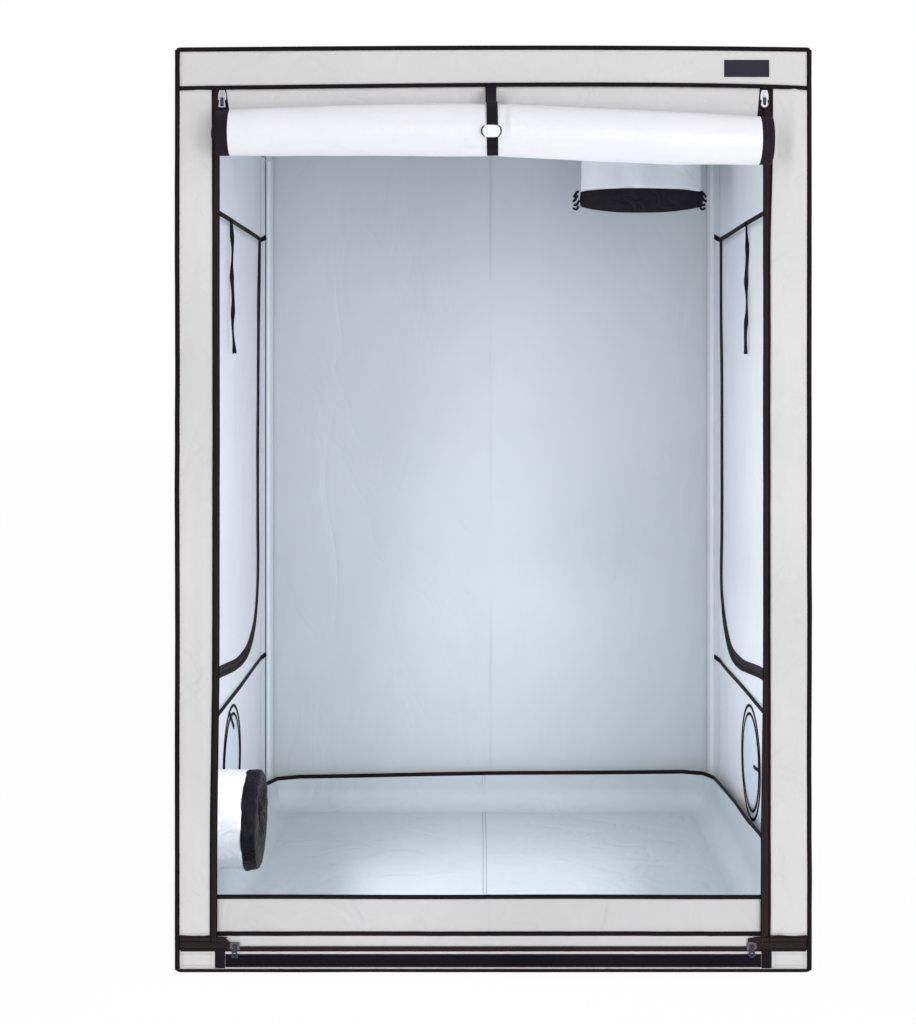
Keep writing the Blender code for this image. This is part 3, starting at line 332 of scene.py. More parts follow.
def tone_group():
    """Slight change of tone over a surface, from one colour to another."""
    group, given, result = new_group(
        "uneven tone",
        [("Place", "NodeSocketVector", None), ("Colour", "NodeSocketColor", None),
         ("Deeper colour", "NodeSocketColor", None), ("Scale", "NodeSocketFloat", 3.0)],
        [("Colour", "NodeSocketColor"), ("Mask", "NodeSocketFloat")])
    cloud = node(group, "ShaderNodeTexNoise",
                 [("Vector", given.outputs["Place"]), ("Scale", given.outputs["Scale"]),
                  ("Detail", 4.0), ("Roughness", 0.5)])
    mask = node(group, "ShaderNodeMapRange",
                [("Value", cloud.outputs["Fac"]), ("From Min", 0.30), ("From Max", 0.70)])
    mixed = node(group, "ShaderNodeMix",
                 [(0, mask.outputs[0]), (6, given.outputs["Colour"]),
                  (7, given.outputs["Deeper colour"])], data_type="RGBA")
    group.links.new(mixed.outputs[2], result.inputs["Colour"])
    group.links.new(mask.outputs[0], result.inputs["Mask"])
    return group


def colour(red, green, blue):
    """A colour from the 0 to 255 values that a picture shows, as light."""
    shares = [value / 255 for value in (red, green, blue)]
    light = [share / 12.92 if share <= 0.04045 else ((share + 0.055) / 1.055) ** 2.4
             for share in shares]
    return (*light, 1.0)


def material_start(name, roughness, metallic=0.0):
    material = bpy.data.materials.new(name)
    material.use_nodes = True
    tree = material.node_tree
    shader = tree.nodes["Principled BSDF"]
    shader.inputs["Roughness"].default_value = roughness
    shader.inputs["Metallic"].default_value = metallic
    place = node(tree, "ShaderNodeTexCoord")
    return material, tree, shader, place


def bumped(tree, height, depth, strength, under=None):
    links = [("Height", height), ("Distance", depth), ("Strength", strength)]
    if under is not None:
        links.append(("Normal", under))
    return node(tree, "ShaderNodeBump", links).outputs["Normal"]


def cloth_finish(name, face, deeper, roughness, threads, weave, creases, crease_scale,
                 stretch=(1, 1, 1), tone_scale=2.5, sheen=0.0, shine=0.5):
    """A woven or coated cloth: uneven tone, threads on the cloth's own map, soft creases."""
    material, tree, shader, place = material_start(name, roughness)
    tone = placed_group(tree, "uneven tone", [
        ("Place", place.outputs["Object"]), ("Colour", colour(*face)),
        ("Deeper colour", colour(*deeper)), ("Scale", tone_scale)])
    tree.links.new(tone.outputs["Colour"], shader.inputs["Base Color"])
    woven = placed_group(tree, "plain weave", [
        ("Place", place.outputs["UV"]), ("Threads per metre", threads)])
    folded = placed_group(tree, "soft creases", [
        ("Place", place.outputs["Object"]), ("Scale", crease_scale), ("Stretch", stretch)])
    normal = bumped(tree, woven.outputs["Height"], 0.0002, weave)
    normal = bumped(tree, folded.outputs["Height"], 0.012, creases, normal)
    tree.links.new(normal, shader.inputs["Normal"])
    worn = node(tree, "ShaderNodeMapRange", [
        ("Value", tone.outputs["Mask"]), ("To Min", roughness - 0.05),
        ("To Max", min(1.0, roughness + 0.07))])
    tree.links.new(worn.outputs[0], shader.inputs["Roughness"])
    shader.inputs["Sheen Weight"].default_value = sheen
    shader.inputs["Specular IOR Level"].default_value = shine
    return material


def rigid_finish(name, face, deeper, roughness, grain, metallic=0.0, grain_scale=900.0,
                 coat=0.0):
    """Enamel, moulded plastic or plated metal, with fine grain and a slightly uneven tone."""
    material, tree, shader, place = material_start(name, roughness, metallic)
    tone = placed_group(tree, "uneven tone", [
        ("Place", place.outputs["Object"]), ("Colour", colour(*face)),
        ("Deeper colour", colour(*deeper)), ("Scale", 14.0)])
    tree.links.new(tone.outputs["Colour"], shader.inputs["Base Color"])
    fine = node(tree, "ShaderNodeTexNoise", [
        ("Vector", place.outputs["Object"]), ("Scale", grain_scale), ("Detail", 2.0)])
    tree.links.new(bumped(tree, fine.outputs["Fac"], 0.0001, grain), shader.inputs["Normal"])
    worn = node(tree, "ShaderNodeMapRange", [
        ("Value", tone.outputs["Mask"]), ("To Min", roughness - 0.04),
        ("To Max", roughness + 0.08)])
    tree.links.new(worn.outputs[0], shader.inputs["Roughness"])
    shader.inputs["Coat Weight"].default_value = coat
    return material


# Every finish by name: its colour in plain light and the deeper one beside it, its roughness, then
# for cloth its threads a metre, how strong its weave and creases are and how small the creases,
# and for anything else how strong its grain is. What sets a finish apart comes last.
CLOTH_FINISHES = {
    "canvas": ("grey canvas", (218, 217, 218), (210, 209, 210), 0.78,
               900, 0.6, 0.5, 7.0, {"sheen": 0.05}),
    # the lip's canvas: the grey canvas made darker, painted shade that offsets the light the pale floor throws up onto
    # the lip
    "lip canvas": ("grey lip canvas", (209, 208, 209), (201, 200, 201), 0.78,
                   900, 0.6, 0.5, 7.0, {"sheen": 0.05}),
    "lining": ("satin lining", (221, 223, 229), (213, 217, 224), 0.42,
               1400, 0.15, 0.28, 5.0, {"stretch": (1, 1, 0.45), "tone_scale": 1.6}),
    # the rear wall's lining: the satin lining made darker, painted shade for the wall that least light reaches
    "rear lining": ("satin rear lining", (194, 201, 205), (188, 195, 200), 0.42,
                    1400, 0.15, 0.28, 5.0, {"stretch": (1, 1, 0.45), "tone_scale": 1.6}),
    "tray cloth": ("coated tray cloth", (186, 195, 200), (179, 188, 194), 0.40,
                   1300, 0.15, 0.35, 6.0, {"tone_scale": 2.2}),
    "door lining": ("glossy door lining", (237, 237, 243), (231, 231, 238), 0.34,
                    1400, 0.10, 0.22, 14.0, {"stretch": (0.6, 1, 1), "tone_scale": 4.0}),
    # the wall sleeve's cloth: whiter than the pale lining, painted light for the light that falls on and shines
    # through the wall sleeve
    "sleeve": ("coated sleeve cloth", (243, 245, 249), (236, 240, 245), 0.40,
               1200, 0.15, 0.5, 16.0, {}),
    "ceiling sleeve": ("thin sleeve cloth", (216, 219, 224), (206, 210, 217), 0.36,
                       1200, 0.15, 0.28, 8.0, {}),
    "binding": ("black binding", (27, 21, 24), (20, 16, 19), 0.62,
                1500, 0.8, 0.15, 30.0, {"shine": 0.08}),
    "roll tape": ("rolled zip tape", (33, 28, 36), (25, 21, 28), 0.66,
                  800, 0.9, 0.2, 24.0, {"shine": 0.12}),
    "webbing": ("black webbing", (26, 23, 29), (19, 17, 23), 0.66,
                520, 1.0, 0.05, 30.0, {"shine": 0.10}),
    "zip tape": ("zip tape", (48, 37, 36), (38, 30, 31), 0.70,
                 800, 0.9, 0.05, 30.0, {"shine": 0.08}),
    "hook pile": ("hook pile", (27, 23, 32), (20, 18, 26), 0.90,
                  700, 1.0, 0.1, 60.0, {"shine": 0.06}),
    "cuff": ("black cuff cloth", (25, 22, 31), (17, 15, 23), 0.45,
             1200, 0.3, 0.6, 22.0, {"shine": 0.16}),
    "patch": ("blank woven patch", (52, 50, 60), (45, 43, 53), 0.75,
              1600, 0.8, 0.05, 30.0, {"shine": 0.20}),
    # a thin slate strip that paints the shade line in each rear corner
    "seam shade": ("slate seam tape", (84, 108, 128), (74, 98, 118), 0.6, 900, 0.4, 0.05, 7.0, {}),
    "net": ("fine vent net", (206, 215, 223), (196, 206, 216), 0.6, 620, 1.0, 0.2, 9.0, {}),
}
RIGID_FINISHES = {
    "coil": ("nylon zip coil", (22, 18, 21), (15, 13, 15), 0.42, 0.05, {}),
    "thread": ("sewing thread", (30, 27, 30), (22, 20, 23), 0.8, 0.3, {}),
    "pale thread": ("pale sewing thread", (196, 198, 200), (186, 188, 190), 0.7, 0.3, {}),
    "enamel": ("white tube enamel", (214, 219, 224), (207, 213, 219), 0.36,
               0.12, {"grain_scale": 420.0, "coat": 0.2}),
    "socket": ("moulded grey plastic", (196, 199, 202), (186, 189, 193), 0.5, 0.3, {}),
    "nickel": ("nickel plate", (202, 203, 207), (158, 160, 166), 0.24, 0.12, {"metallic": 1.0}),
    "dark nickel": ("dark nickel plate", (112, 110, 114), (82, 80, 86), 0.30,
                    0.12, {"metallic": 1.0}),
    "white plastic": ("white moulded plastic", (240, 242, 244), (232, 235, 238), 0.34,
                      0.1, {"coat": 0.2}),
    "dark plastic": ("dark insert", (40, 42, 52), (30, 32, 42), 0.45, 0.15, {}),
}


def make_finishes():
    weave_group()
    crease_group()
    tone_group()
    made = {key: cloth_finish(*row, **more) for key, (*row, more) in CLOTH_FINISHES.items()}
    made.update((key, rigid_finish(*row, **more)) for key, (*row, more) in RIGID_FINISHES.items())
    return made


FINISH = make_finishes()


# Mesh making

def finish_piece(thing, body=ROOT, slot=None):
    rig.ride(thing, body)
    if slot:
        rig.slot(thing, slot)
    return thing


def mesh_piece(name, points, faces, finishes, uv=None, face_finish=None):
    """A smooth mesh object at the origin. uv gives a place in metres for each point."""
    mesh = bpy.data.meshes.new(name)
    mesh.from_pydata([tuple(point) for point in points], [], faces)
    for key in finishes:
        mesh.materials.append(FINISH[key])
    if face_finish is not None:
        mesh.polygons.foreach_set("material_index", face_finish)
    if uv is not None:
        layer = mesh.uv_layers.new(name="UVMap")
        corners = np.empty(len(mesh.loops), np.int32)
        mesh.loops.foreach_get("vertex_index", corners)
        layer.data.foreach_set("uv", np.asarray(uv, np.float32)[corners].ravel())
    mesh.shade_smooth()
    mesh.set_sharp_from_angle(angle=math.radians(40))
    mesh.validate()
    thing = bpy.data.objects.new(name, mesh)
    bpy.context.scene.collection.objects.link(thing)
    return thing


def grid_faces(rows, width, closed=False):
    """Faces of a grid whose points are listed row by row; closed joins each row's ends."""
    faces = []
    for r in range(rows - 1):
        for c in range(width if closed else width - 1):
            d = (c + 1) % width
            faces.append((r * width + c, r * width + d, (r + 1) * width + d, (r + 1) * width + c))
    return faces


def turn_faces_out(thing, outward):
    """Flip a sheet's faces if most of them look away from outward."""
    mesh = thing.data
    total = sum((poly.normal * poly.area for poly in mesh.polygons), Vector())
    if total.dot(Vector(outward)) < 0:
        mesh.flip_normals()


def thicken(thing, finishes):
    """Give a sheet the cloth's thickness, with the second finish on its back."""
    solid = thing.modifiers.new("cloth thickness", "SOLIDIFY")
    solid.thickness = CLOTH
    solid.offset = 0.0
    solid.material_offset = 1 if len(finishes) > 1 else 0


def join_patches(patches):
    """Join grid patches, each a list of rows of (a, b) points, along the points they share."""
    index, faces = {}, []
    for rows in patches:
        numbers = [[index.setdefault((round(a, 5), round(b, 5)), len(index)) for a, b in row]
                   for row in rows]
        for low, high in zip(numbers, numbers[1:]):
            for i in range(len(low) - 1):
                face = list(dict.fromkeys((low[i], low[i + 1], high[i + 1], high[i])))
                if len(face) > 2:
                    faces.append(face)
    points = list(index)
    for i, face in enumerate(faces):
        turned = sum(points[face[k - 1]][0] * points[face[k]][1]
                     - points[face[k]][0] * points[face[k - 1]][1] for k in range(len(face)))
        if turned < 0:
            faces[i] = face[::-1]
    return points, faces


def rectangle(columns, rows):
    return [[(a, b) for a in columns] for b in rows]


def round_opening(columns, rows, centre, radius, rings=5):
    """A patch that fills a rectangle round a circular opening, from the opening outwards."""
    border = [(a, rows[0]) for a in columns]
    border += [(columns[-1], b) for b in rows[1:]]
    border += [(a, rows[-1]) for a in columns[-2::-1]]
    border += [(columns[0], b) for b in rows[-2::-1]]
    patch = []
    for ring in range(rings + 1):
        share = ring / rings
        line = []
        for a, b in border:
            across, up = a - centre[0], b - centre[1]
            reach = math.hypot(across, up)
            near = (centre[0] + across / reach * radius, centre[1] + up / reach * radius)
            line.append((near[0] + (a - near[0]) * share, near[1] + (b - near[1]) * share))
        patch.append(line)
    return patch


def soft_relief(point, depth, seed, stretch=(1.0, 1.0), edge=0.0, size=0.28):
    """How far hanging cloth stands from its plane at (a, b), in metres."""
    a, b = point[0] * stretch[0] / size, point[1] * stretch[1] / size
    broad = ripple(a, b, seed)
    fine = ripple(a * 2.7, b * 2.7, seed + 11)
    return depth * (broad + 0.35 * fine) * min(1.0, edge / 0.05)


def edge_distance(point, low, high):
    """How far a point inside a rectangle is from its nearest side."""
    (a, b), (low_a, low_b), (high_a, high_b) = point, low, high
    return max(0.0, min(a - low_a, high_a - a, b - low_b, high_b - b))


def dress_sheet(thing, finishes, body, slot, stands_for, flat, held, rests_on, area):
    """What every sheet needs: its thickness, its body and slot, and what cloth it is."""
    thicken(thing, finishes)
    finish_piece(thing, body, slot)
    if stands_for:
        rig.replaces(thing, *stands_for)
    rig.sheet(thing, flat=flat, held=held, rests_on=list(rests_on), area=area)


def cloth_panel(name, patches, place, outward, relief, finishes=("canvas", "lining"),
                flat=None, area=None, held="stretched", rests_on=(), body=ROOT, slot=None,
                stands_for=()):
    """A panel of cloth with one finish outside and another inside.

    place turns (a, b, depth) into a point, and relief gives the depth at (a, b).
    """
    flat_points, faces = join_patches(patches)
    points = [place(a, b, relief((a, b))) for a, b in flat_points]
    thing = mesh_piece(name, points, faces, finishes, uv=flat_points)
    turn_faces_out(thing, outward)
    dress_sheet(thing, finishes, body, slot, stands_for, flat, held, rests_on, area)


# Panels of the cabin

def over_front(y):
    """Places on a layer that lies at y over the front of the cabin."""
    def place(a, b, depth):
        return (a, y - depth, b)
    return place


def on_rear(a, b, depth):
    return (a, CLOTH_PLANE + depth, b)


def soft_table(places, values, reach=0.022, ends=(-0.8, 2.2), step=0.002, pad=40):
    """The values between the places as one smooth table: its places and its values."""
    grid = np.arange(round(ends[0] / step), round(ends[1] / step) + 1) * step
    weights = np.exp(-0.5 * (np.arange(-pad, pad + 1) * step / reach) ** 2)
    padded = np.pad(np.interp(grid, places, values), pad, mode="edge")
    return grid, np.convolve(padded, weights / weights.sum(), mode="valid")


def from_table(table, value):
    return float(np.interp(value, *table))


# How far slack cloth carries the foot of each side door up or down, along the depth.
FOOT_RISES = {
    "left": soft_table(
        [-0.64, -0.45, -0.25, -0.11, -0.057, -0.003, 0.051, 0.107, 0.164, 0.222, 0.282, 0.344,
         0.407, 0.50],
        [0, 0.014, 0.027, 0.0222, 0.0156, 0.010, 0.0044, -0.002, -0.0067, -0.009, -0.0085, -0.0045,
         -0.0014, 0]),
    "right": soft_table(
        [-0.64, -0.45, -0.25, -0.083, -0.034, 0.017, 0.068, 0.12, 0.174, 0.229, 0.285, 0.343, 0.402,
         0.462, 0.503, 0.60, 0.70, 0.74],
        [0, 0.012, 0.020, 0.0126, 0.0078, 0.0022, -0.0034, -0.0098, -0.0155, -0.0204, -0.0224,
         -0.0220, -0.0230, -0.0280, -0.033, -0.036, -0.014, 0])}
# How far it carries each side door's rear edge to the rear, up its height.
EDGE_SHIFTS = {
    "left": soft_table([0.66, 0.75, 0.85, 1.0, 1.20, 1.50, 1.65, 1.83],
                       [0, -0.024, -0.042, -0.049, -0.049, -0.034, -0.023, -0.004], 0.03),
    "right": soft_table([0.62, 0.66, 0.70, 0.725, 0.754, 0.818, 0.90, 1.40, 1.60],
                        [0, 0.012, 0.030, 0.034, 0.022, 0, -0.018, -0.018, 0], 0.02)}


def slack(side, y, z):
    """Where the slack of a side wall's cloth carries a place that was drawn at (y, z)."""
    if z > 0.545:
        share = 1 - eased((z - 0.640) / 0.13)
    else:
        share = 1 - eased((0.545 - z) / 0.055)
    rise = from_table(FOOT_RISES[side], y) * share
    near = eased((y - 0.35) / 0.20) * (1 - eased((y - 0.68) / 0.065))
    return y + from_table(EDGE_SHIFTS[side], z) * near, z + rise


def on_left(a, b, depth):
    return (-CLOTH_PLANE - depth, *slack("left", a, b))


def on_right(a, b, depth):
    return (CLOTH_PLANE + depth, *slack("right", a, b))


def on_roof(a, b, depth):
    return (a, b, TALL - 0.0023 + depth)


def on_floor(a, b, depth):
    return (a, b, 0.0023 - depth)


SIDES = {"left": on_left, "right": on_right}
FULL = (-PANEL_EDGE - 0.002, PANEL_EDGE + 0.002)


def relief_in(low, high, depth, seed, stretch=(1.0, 1.0), size=0.28):
    def relief(point):
        return soft_relief(point, depth, seed, stretch, edge_distance(point, low, high), size)
    return relief


def make_roof():
    reach = FULL[1]
    low, high = ROOF_PORT[0] - 0.19, ROOF_PORT[0] + 0.19
    near, far = ROOF_PORT[1] - 0.19, ROOF_PORT[1] + 0.19
    columns = [spread(-reach, low, 24), spread(low, high, 12), spread(high, reach, 3)]
    rows = [spread(-reach, near, 22), spread(near, far, 12), spread(far, reach, 4)]
    patches = [rectangle(columns[i], rows[j]) for i in range(3) for j in range(3)
               if (i, j) != (1, 1)]
    patches.append(round_opening(columns[1], rows[1], ROOF_PORT, PORT_RADIUS, 6))
    relief = relief_in((-reach, -reach), (reach, reach), 0.0022, 3.0)
    cloth_panel("roof_cloth", patches, on_roof, (0, 0, 1), relief, flat=(1.5, 1.5),
                area=2.16, slot="cover_fabric", rests_on=["bar_top_front", "bar_top_rear"],
                stands_for=["roof_panel"])


def make_floor():
    reach = FULL[1]
    grid = [rectangle(spread(-reach, reach, 40), spread(-reach, reach, 40))]
    relief = relief_in((-reach, -reach), (reach, reach), 0.0004, 8.0)
    cloth_panel("floor_cloth", grid, on_floor, (0, 0, -1), relief, flat=(1.5, 1.5),
                slot="cover_fabric", rests_on=["bar_bottom_front", "bar_bottom_rear"],
                stands_for=["floor_sheet"])


def make_rear_wall():
    """Two widths of cloth joined at a seam down the middle of the rear wall."""
    reach, low, high, seam = FULL[1], 0.009, TALL - 0.009, -0.008
    rows = spread(low, high, 90)
    grid = [rectangle(spread(-reach, seam, 32), rows), rectangle(spread(seam, reach, 32), rows)]

    def relief(point):
        edge = edge_distance(point, (-reach, low), (reach, high))
        broad = soft_relief(point, 0.0030, 21.0, (1.5, 0.5), edge, 0.30)
        pulled = 0.0016 * bump_at(point[0], seam, 0.022) * min(1, edge / 0.05)
        return broad - pulled

    # its inside takes the satin lining made darker, as painted shade
    cloth_panel("rear_wall_cloth", grid, on_rear, (0, 1, 0), relief,
                finishes=("canvas", "rear lining"), flat=(1.5, 2.185), slot="cover_fabric",
                rests_on=["bar_top_rear", "bar_bottom_rear"], stands_for=["rear_wall"])


def side_zip_reach(z):
    """Half width of a side door at height z: square at the top, rounded at the foot."""
    drop = SIDE_DOOR_LOW + SIDE_DOOR_CORNER - z
    if drop <= 0:
        return SIDE_DOOR_HALF
    inside = max(0.0, SIDE_DOOR_CORNER ** 2 - drop ** 2)
    return SIDE_DOOR_HALF - SIDE_DOOR_CORNER + math.sqrt(inside)


def side_door_rows():
    """Heights up a side door, closer together round its lower corners."""
    turns = spread(0, math.pi / 2, 14)
    rows = [SIDE_DOOR_LOW + SIDE_DOOR_CORNER * (1 - math.cos(turn)) for turn in turns]
    return rows + spread(rows[-1], SIDE_DOOR_TOP, 42)[1:]


def side_relief(seed, depth=0.0024):
    """Side cloth: broad waves that run mostly up and down."""
    def relief(point):
        edge = min(abs(point[0] - FULL[0]), abs(FULL[1] - point[0]))
        edge = min(edge, abs(point[1] - SIDE_SEAM), abs(point[1] - LOW_SEAM) + 0.004)
        return soft_relief(point, depth, seed, (1.3, 0.55), edge, 0.26)
    return relief


def make_side_walls():
    """The upper cloth of each side, with its door cut out, and the door's own cloth."""
    reach, gap = FULL[1], 0.004
    for side, sign in SIDE_SIGN.items():
        place = SIDES[side]
        columns = spread(-1.0, 1.0, 48)
        rows = side_door_rows()
        patches = [rectangle([reach * share for share in columns],
                             spread(SIDE_DOOR_TOP, TALL - 0.009, 14))]
        for way in (-1, 1):
            patches.append([[(way * y, z) for y in spread(side_zip_reach(z) + gap, reach, 8)]
                            for z in rows])
        foot = side_zip_reach(rows[0]) + gap
        spans = spread(-reach, -foot, 8)[:-1] + spread(-foot, foot, 24)
        spans += spread(foot, reach, 8)[1:]
        patches.append(rectangle(spans, spread(LOW_SEAM + 0.002, SIDE_DOOR_LOW, 5)))
        cloth_panel(side + "_wall_cloth", patches, place, (sign, 0, 0), side_relief(31.0 + sign),
                    flat=(1.5, 1.69), area=0.92, slot="cover_fabric",
                    rests_on=["bar_top_" + side], stands_for=[side + "_wall"])
        door = [[(side_zip_reach(z) * share, z) for share in columns] for z in rows]
        cloth_panel(side + "_door_cloth", [door], place, (sign, 0, 0), side_relief(41.0 + sign),
                    flat=(1.32, 1.27), area=1.62, body=side + "_side_door", slot="door_fabric",
                    rests_on=[side + "_wall_cloth"], stands_for=[side + "_side_door"])


def make_wall_bases():
    """The cloth below each side door, with its vent opening and, on the left, the duct port."""
    reach = FULL[1]
    low, high = 0.009, LOW_SEAM + 0.002
    for side, sign in SIDE_SIGN.items():
        place = SIDES[side]
        edges = [-reach, -0.625, -0.275, -0.085, 0.265, reach]
        counts = [5, 12, 6, 12, 16]
        rows = spread(low, 0.115, 4)[:-1] + spread(0.115, 0.475, 12) + [high]
        patches = []
        for i, count in enumerate(counts):
            columns = spread(edges[i], edges[i + 1], count)
            port = i == 1 and side == "left"
            if port or i == 3:
                patches.append(rectangle(columns, rows[:5]))
                patches.append(rectangle(columns, rows[-2:]))
                centre = WALL_PORT if port else VENT
                radius = PORT_RADIUS if port else 0.134
                patches.append(round_opening(columns, rows[4:-1], centre, radius, 5))
            else:
                patches.append(rectangle(columns, rows))

        def relief(point, seed=51.0 + sign):
            edge = edge_distance(point, (-reach, low), (reach, high))
            for centre, radius in ((VENT, 0.165), (WALL_PORT, 0.135)):
                away = math.dist(point, centre) - radius
                edge = min(edge, max(0.0, away))
            return soft_relief(point, 0.0022, seed, (1.0, 0.9), edge, 0.2)

        cloth_panel(side + "_base_cloth", patches, place, (sign, 0, 0), relief,
                    flat=(1.5, 0.49), area=0.62 if side == "left" else 0.67,
                    slot="cover_fabric", rests_on=["bar_bottom_" + side],
                    stands_for=[side + "_wall_base"])


# Geometry Nodes trees: bindings and cords, zip teeth, stitches

def tree_start(name, sizes):
    """A tree that takes the paths as edges, sizes by name, and a material."""
    tree = bpy.data.node_groups.new(name, "GeometryNodeTree")
    face = tree.interface
    face.new_socket("Paths", in_out="INPUT", socket_type="NodeSocketGeometry")
    for size, value in sizes:
        made = face.new_socket(size, in_out="INPUT", socket_type="NodeSocketFloat")
        made.default_value = value
    face.new_socket("Finish", in_out="INPUT", socket_type="NodeSocketMaterial")
    face.new_socket("Made", in_out="OUTPUT", socket_type="NodeSocketGeometry")
    given = tree.nodes.new("NodeGroupInput")
    result = tree.nodes.new("NodeGroupOutput")
    curve = node(tree, "GeometryNodeMeshToCurve", [(0, given.outputs["Paths"])])
    facing = node(tree, "GeometryNodeInputNamedAttribute", [(0, "facing")],
                  data_type="FLOAT_VECTOR")
    turned = node(tree, "GeometryNodeSetCurveNormal", [
        ("Curve", curve.outputs[0]), ("Normal", facing.outputs["Attribute"])], mode="FREE")
    return tree, given, result, turned.outputs[0], facing.outputs["Attribute"]


def tree_end(tree, given, result, geometry):
    real = node(tree, "GeometryNodeRealizeInstances", [(0, geometry)])
    smooth = node(tree, "GeometryNodeSetShadeSmooth", [(0, real.outputs[0])])
    dressed = node(tree, "GeometryNodeSetMaterial", [
        ("Geometry", smooth.outputs[0]), ("Material", given.outputs["Finish"])])
    tree.links.new(dressed.outputs[0], result.inputs[0])
    return tree


def binding_tree():
    """A band or bead that follows each path, Width across and Depth proud of the cloth."""
    tree, given, result, curve, _ = tree_start("bound edge", [("Width", 0.012), ("Depth", 0.004)])
    spline = node(tree, "GeometryNodeSplineParameter")
    along = node(tree, "GeometryNodeStoreNamedAttribute", [
        ("Geometry", curve), ("Name", "along"), ("Value", spline.outputs["Length"])],
        data_type="FLOAT", domain="POINT")
    ring = node(tree, "GeometryNodeCurvePrimitiveCircle", [("Resolution", 12), ("Radius", 0.5)])
    place = node(tree, "GeometryNodeInputPosition")
    parts = node(tree, "ShaderNodeSeparateXYZ", [(0, place.outputs[0])])
    # a squarer section than an ellipse: each side is pushed out towards its corner
    squared = []
    for axis in (0, 1):
        size = maths(tree, "ABSOLUTE", parts.outputs[axis])
        power = maths(tree, "POWER", maths(tree, "MULTIPLY", size, 2.0), 0.62)
        grown = maths(tree, "MULTIPLY", power, 0.5)
        squared.append(maths(tree, "MULTIPLY", grown, maths(tree, "SIGN", parts.outputs[axis])))
    deep = maths(tree, "MULTIPLY", squared[0], given.outputs["Depth"])
    wide = maths(tree, "MULTIPLY", squared[1], given.outputs["Width"])
    section = node(tree, "ShaderNodeCombineXYZ", [(0, deep), (1, wide)])
    shaped = node(tree, "GeometryNodeSetPosition", [
        ("Geometry", ring.outputs[0]), ("Position", section.outputs[0])])
    ring_spline = node(tree, "GeometryNodeSplineParameter")
    around = node(tree, "GeometryNodeStoreNamedAttribute", [
        ("Geometry", shaped.outputs[0]), ("Name", "around"),
        ("Value", ring_spline.outputs["Length"])], data_type="FLOAT", domain="POINT")
    swept = node(tree, "GeometryNodeCurveToMesh", [
        ("Curve", along.outputs[0]), ("Profile Curve", around.outputs[0]), ("Fill Caps", True)])
    names = [node(tree, "GeometryNodeInputNamedAttribute", [(0, name)], data_type="FLOAT")
             for name in ("around", "along")]
    spot = node(tree, "ShaderNodeCombineXYZ", [(0, names[0].outputs[0]), (1, names[1].outputs[0])])
    mapped = node(tree, "GeometryNodeStoreNamedAttribute", [
        ("Geometry", swept.outputs[0]), ("Name", "UVMap"), ("Value", spot.outputs[0])],
        data_type="FLOAT2", domain="CORNER")
    return tree_end(tree, given, result, mapped.outputs[0])


def repeated_tree(name, sizes, unit):
    """Copies of one small form along each path, a Pitch apart, lying on the cloth."""
    tree, given, result, curve, facing = tree_start(name, sizes)
    spaced = node(tree, "GeometryNodeResampleCurve", [
        ("Curve", curve), ("Length", given.outputs["Pitch"])], mode="LENGTH")
    tangent = node(tree, "GeometryNodeInputTangent")
    turned = node(tree, "FunctionNodeAxesToRotation", [
        ("Primary Axis", tangent.outputs[0]), ("Secondary Axis", facing)],
        primary_axis="X", secondary_axis="Z")
    form = unit(tree, given)
    placed = node(tree, "GeometryNodeInstanceOnPoints", [
        ("Points", spaced.outputs[0]), ("Instance", form), ("Rotation", turned.outputs[0])])
    return tree_end(tree, given, result, placed.outputs[0])


def bead(tree, *sides):
    """A rounded bead with the given half sizes."""
    ball = node(tree, "GeometryNodeMeshUVSphere", [("Segments", 6), ("Rings", 4), ("Radius", 1.0)])
    size = node(tree, "ShaderNodeCombineXYZ", list(enumerate(sides)))
    return node(tree, "GeometryNodeTransform", [
        ("Geometry", ball.outputs[0]), ("Scale", size.outputs[0])]).outputs[0]


def stitch_unit(tree, given):
    """One stitch: a short rounded thread, sunk at both ends."""
    length = maths(tree, "MULTIPLY", given.outputs["Pitch"], 0.39)
    return bead(tree, length, given.outputs["Thickness"], given.outputs["Thickness"])


def tooth_unit(tree, given):
    """One turn of a zip's coil: a short rod across the tape with rounded ends."""
    wide = maths(tree, "MULTIPLY", given.outputs["Width"], 0.5)
    thick = maths(tree, "MULTIPLY", given.outputs["Pitch"], 0.40)
    high = maths(tree, "MULTIPLY", given.outputs["Pitch"], 0.55)
    return bead(tree, thick, wide, high)


BOUND_EDGE = binding_tree()
STITCHES = repeated_tree("running stitches", [("Pitch", 0.004), ("Thickness", 0.0004)],
                         stitch_unit)
TEETH = repeated_tree("zip coil", [("Pitch", 0.0026), ("Width", 0.005)], tooth_unit)


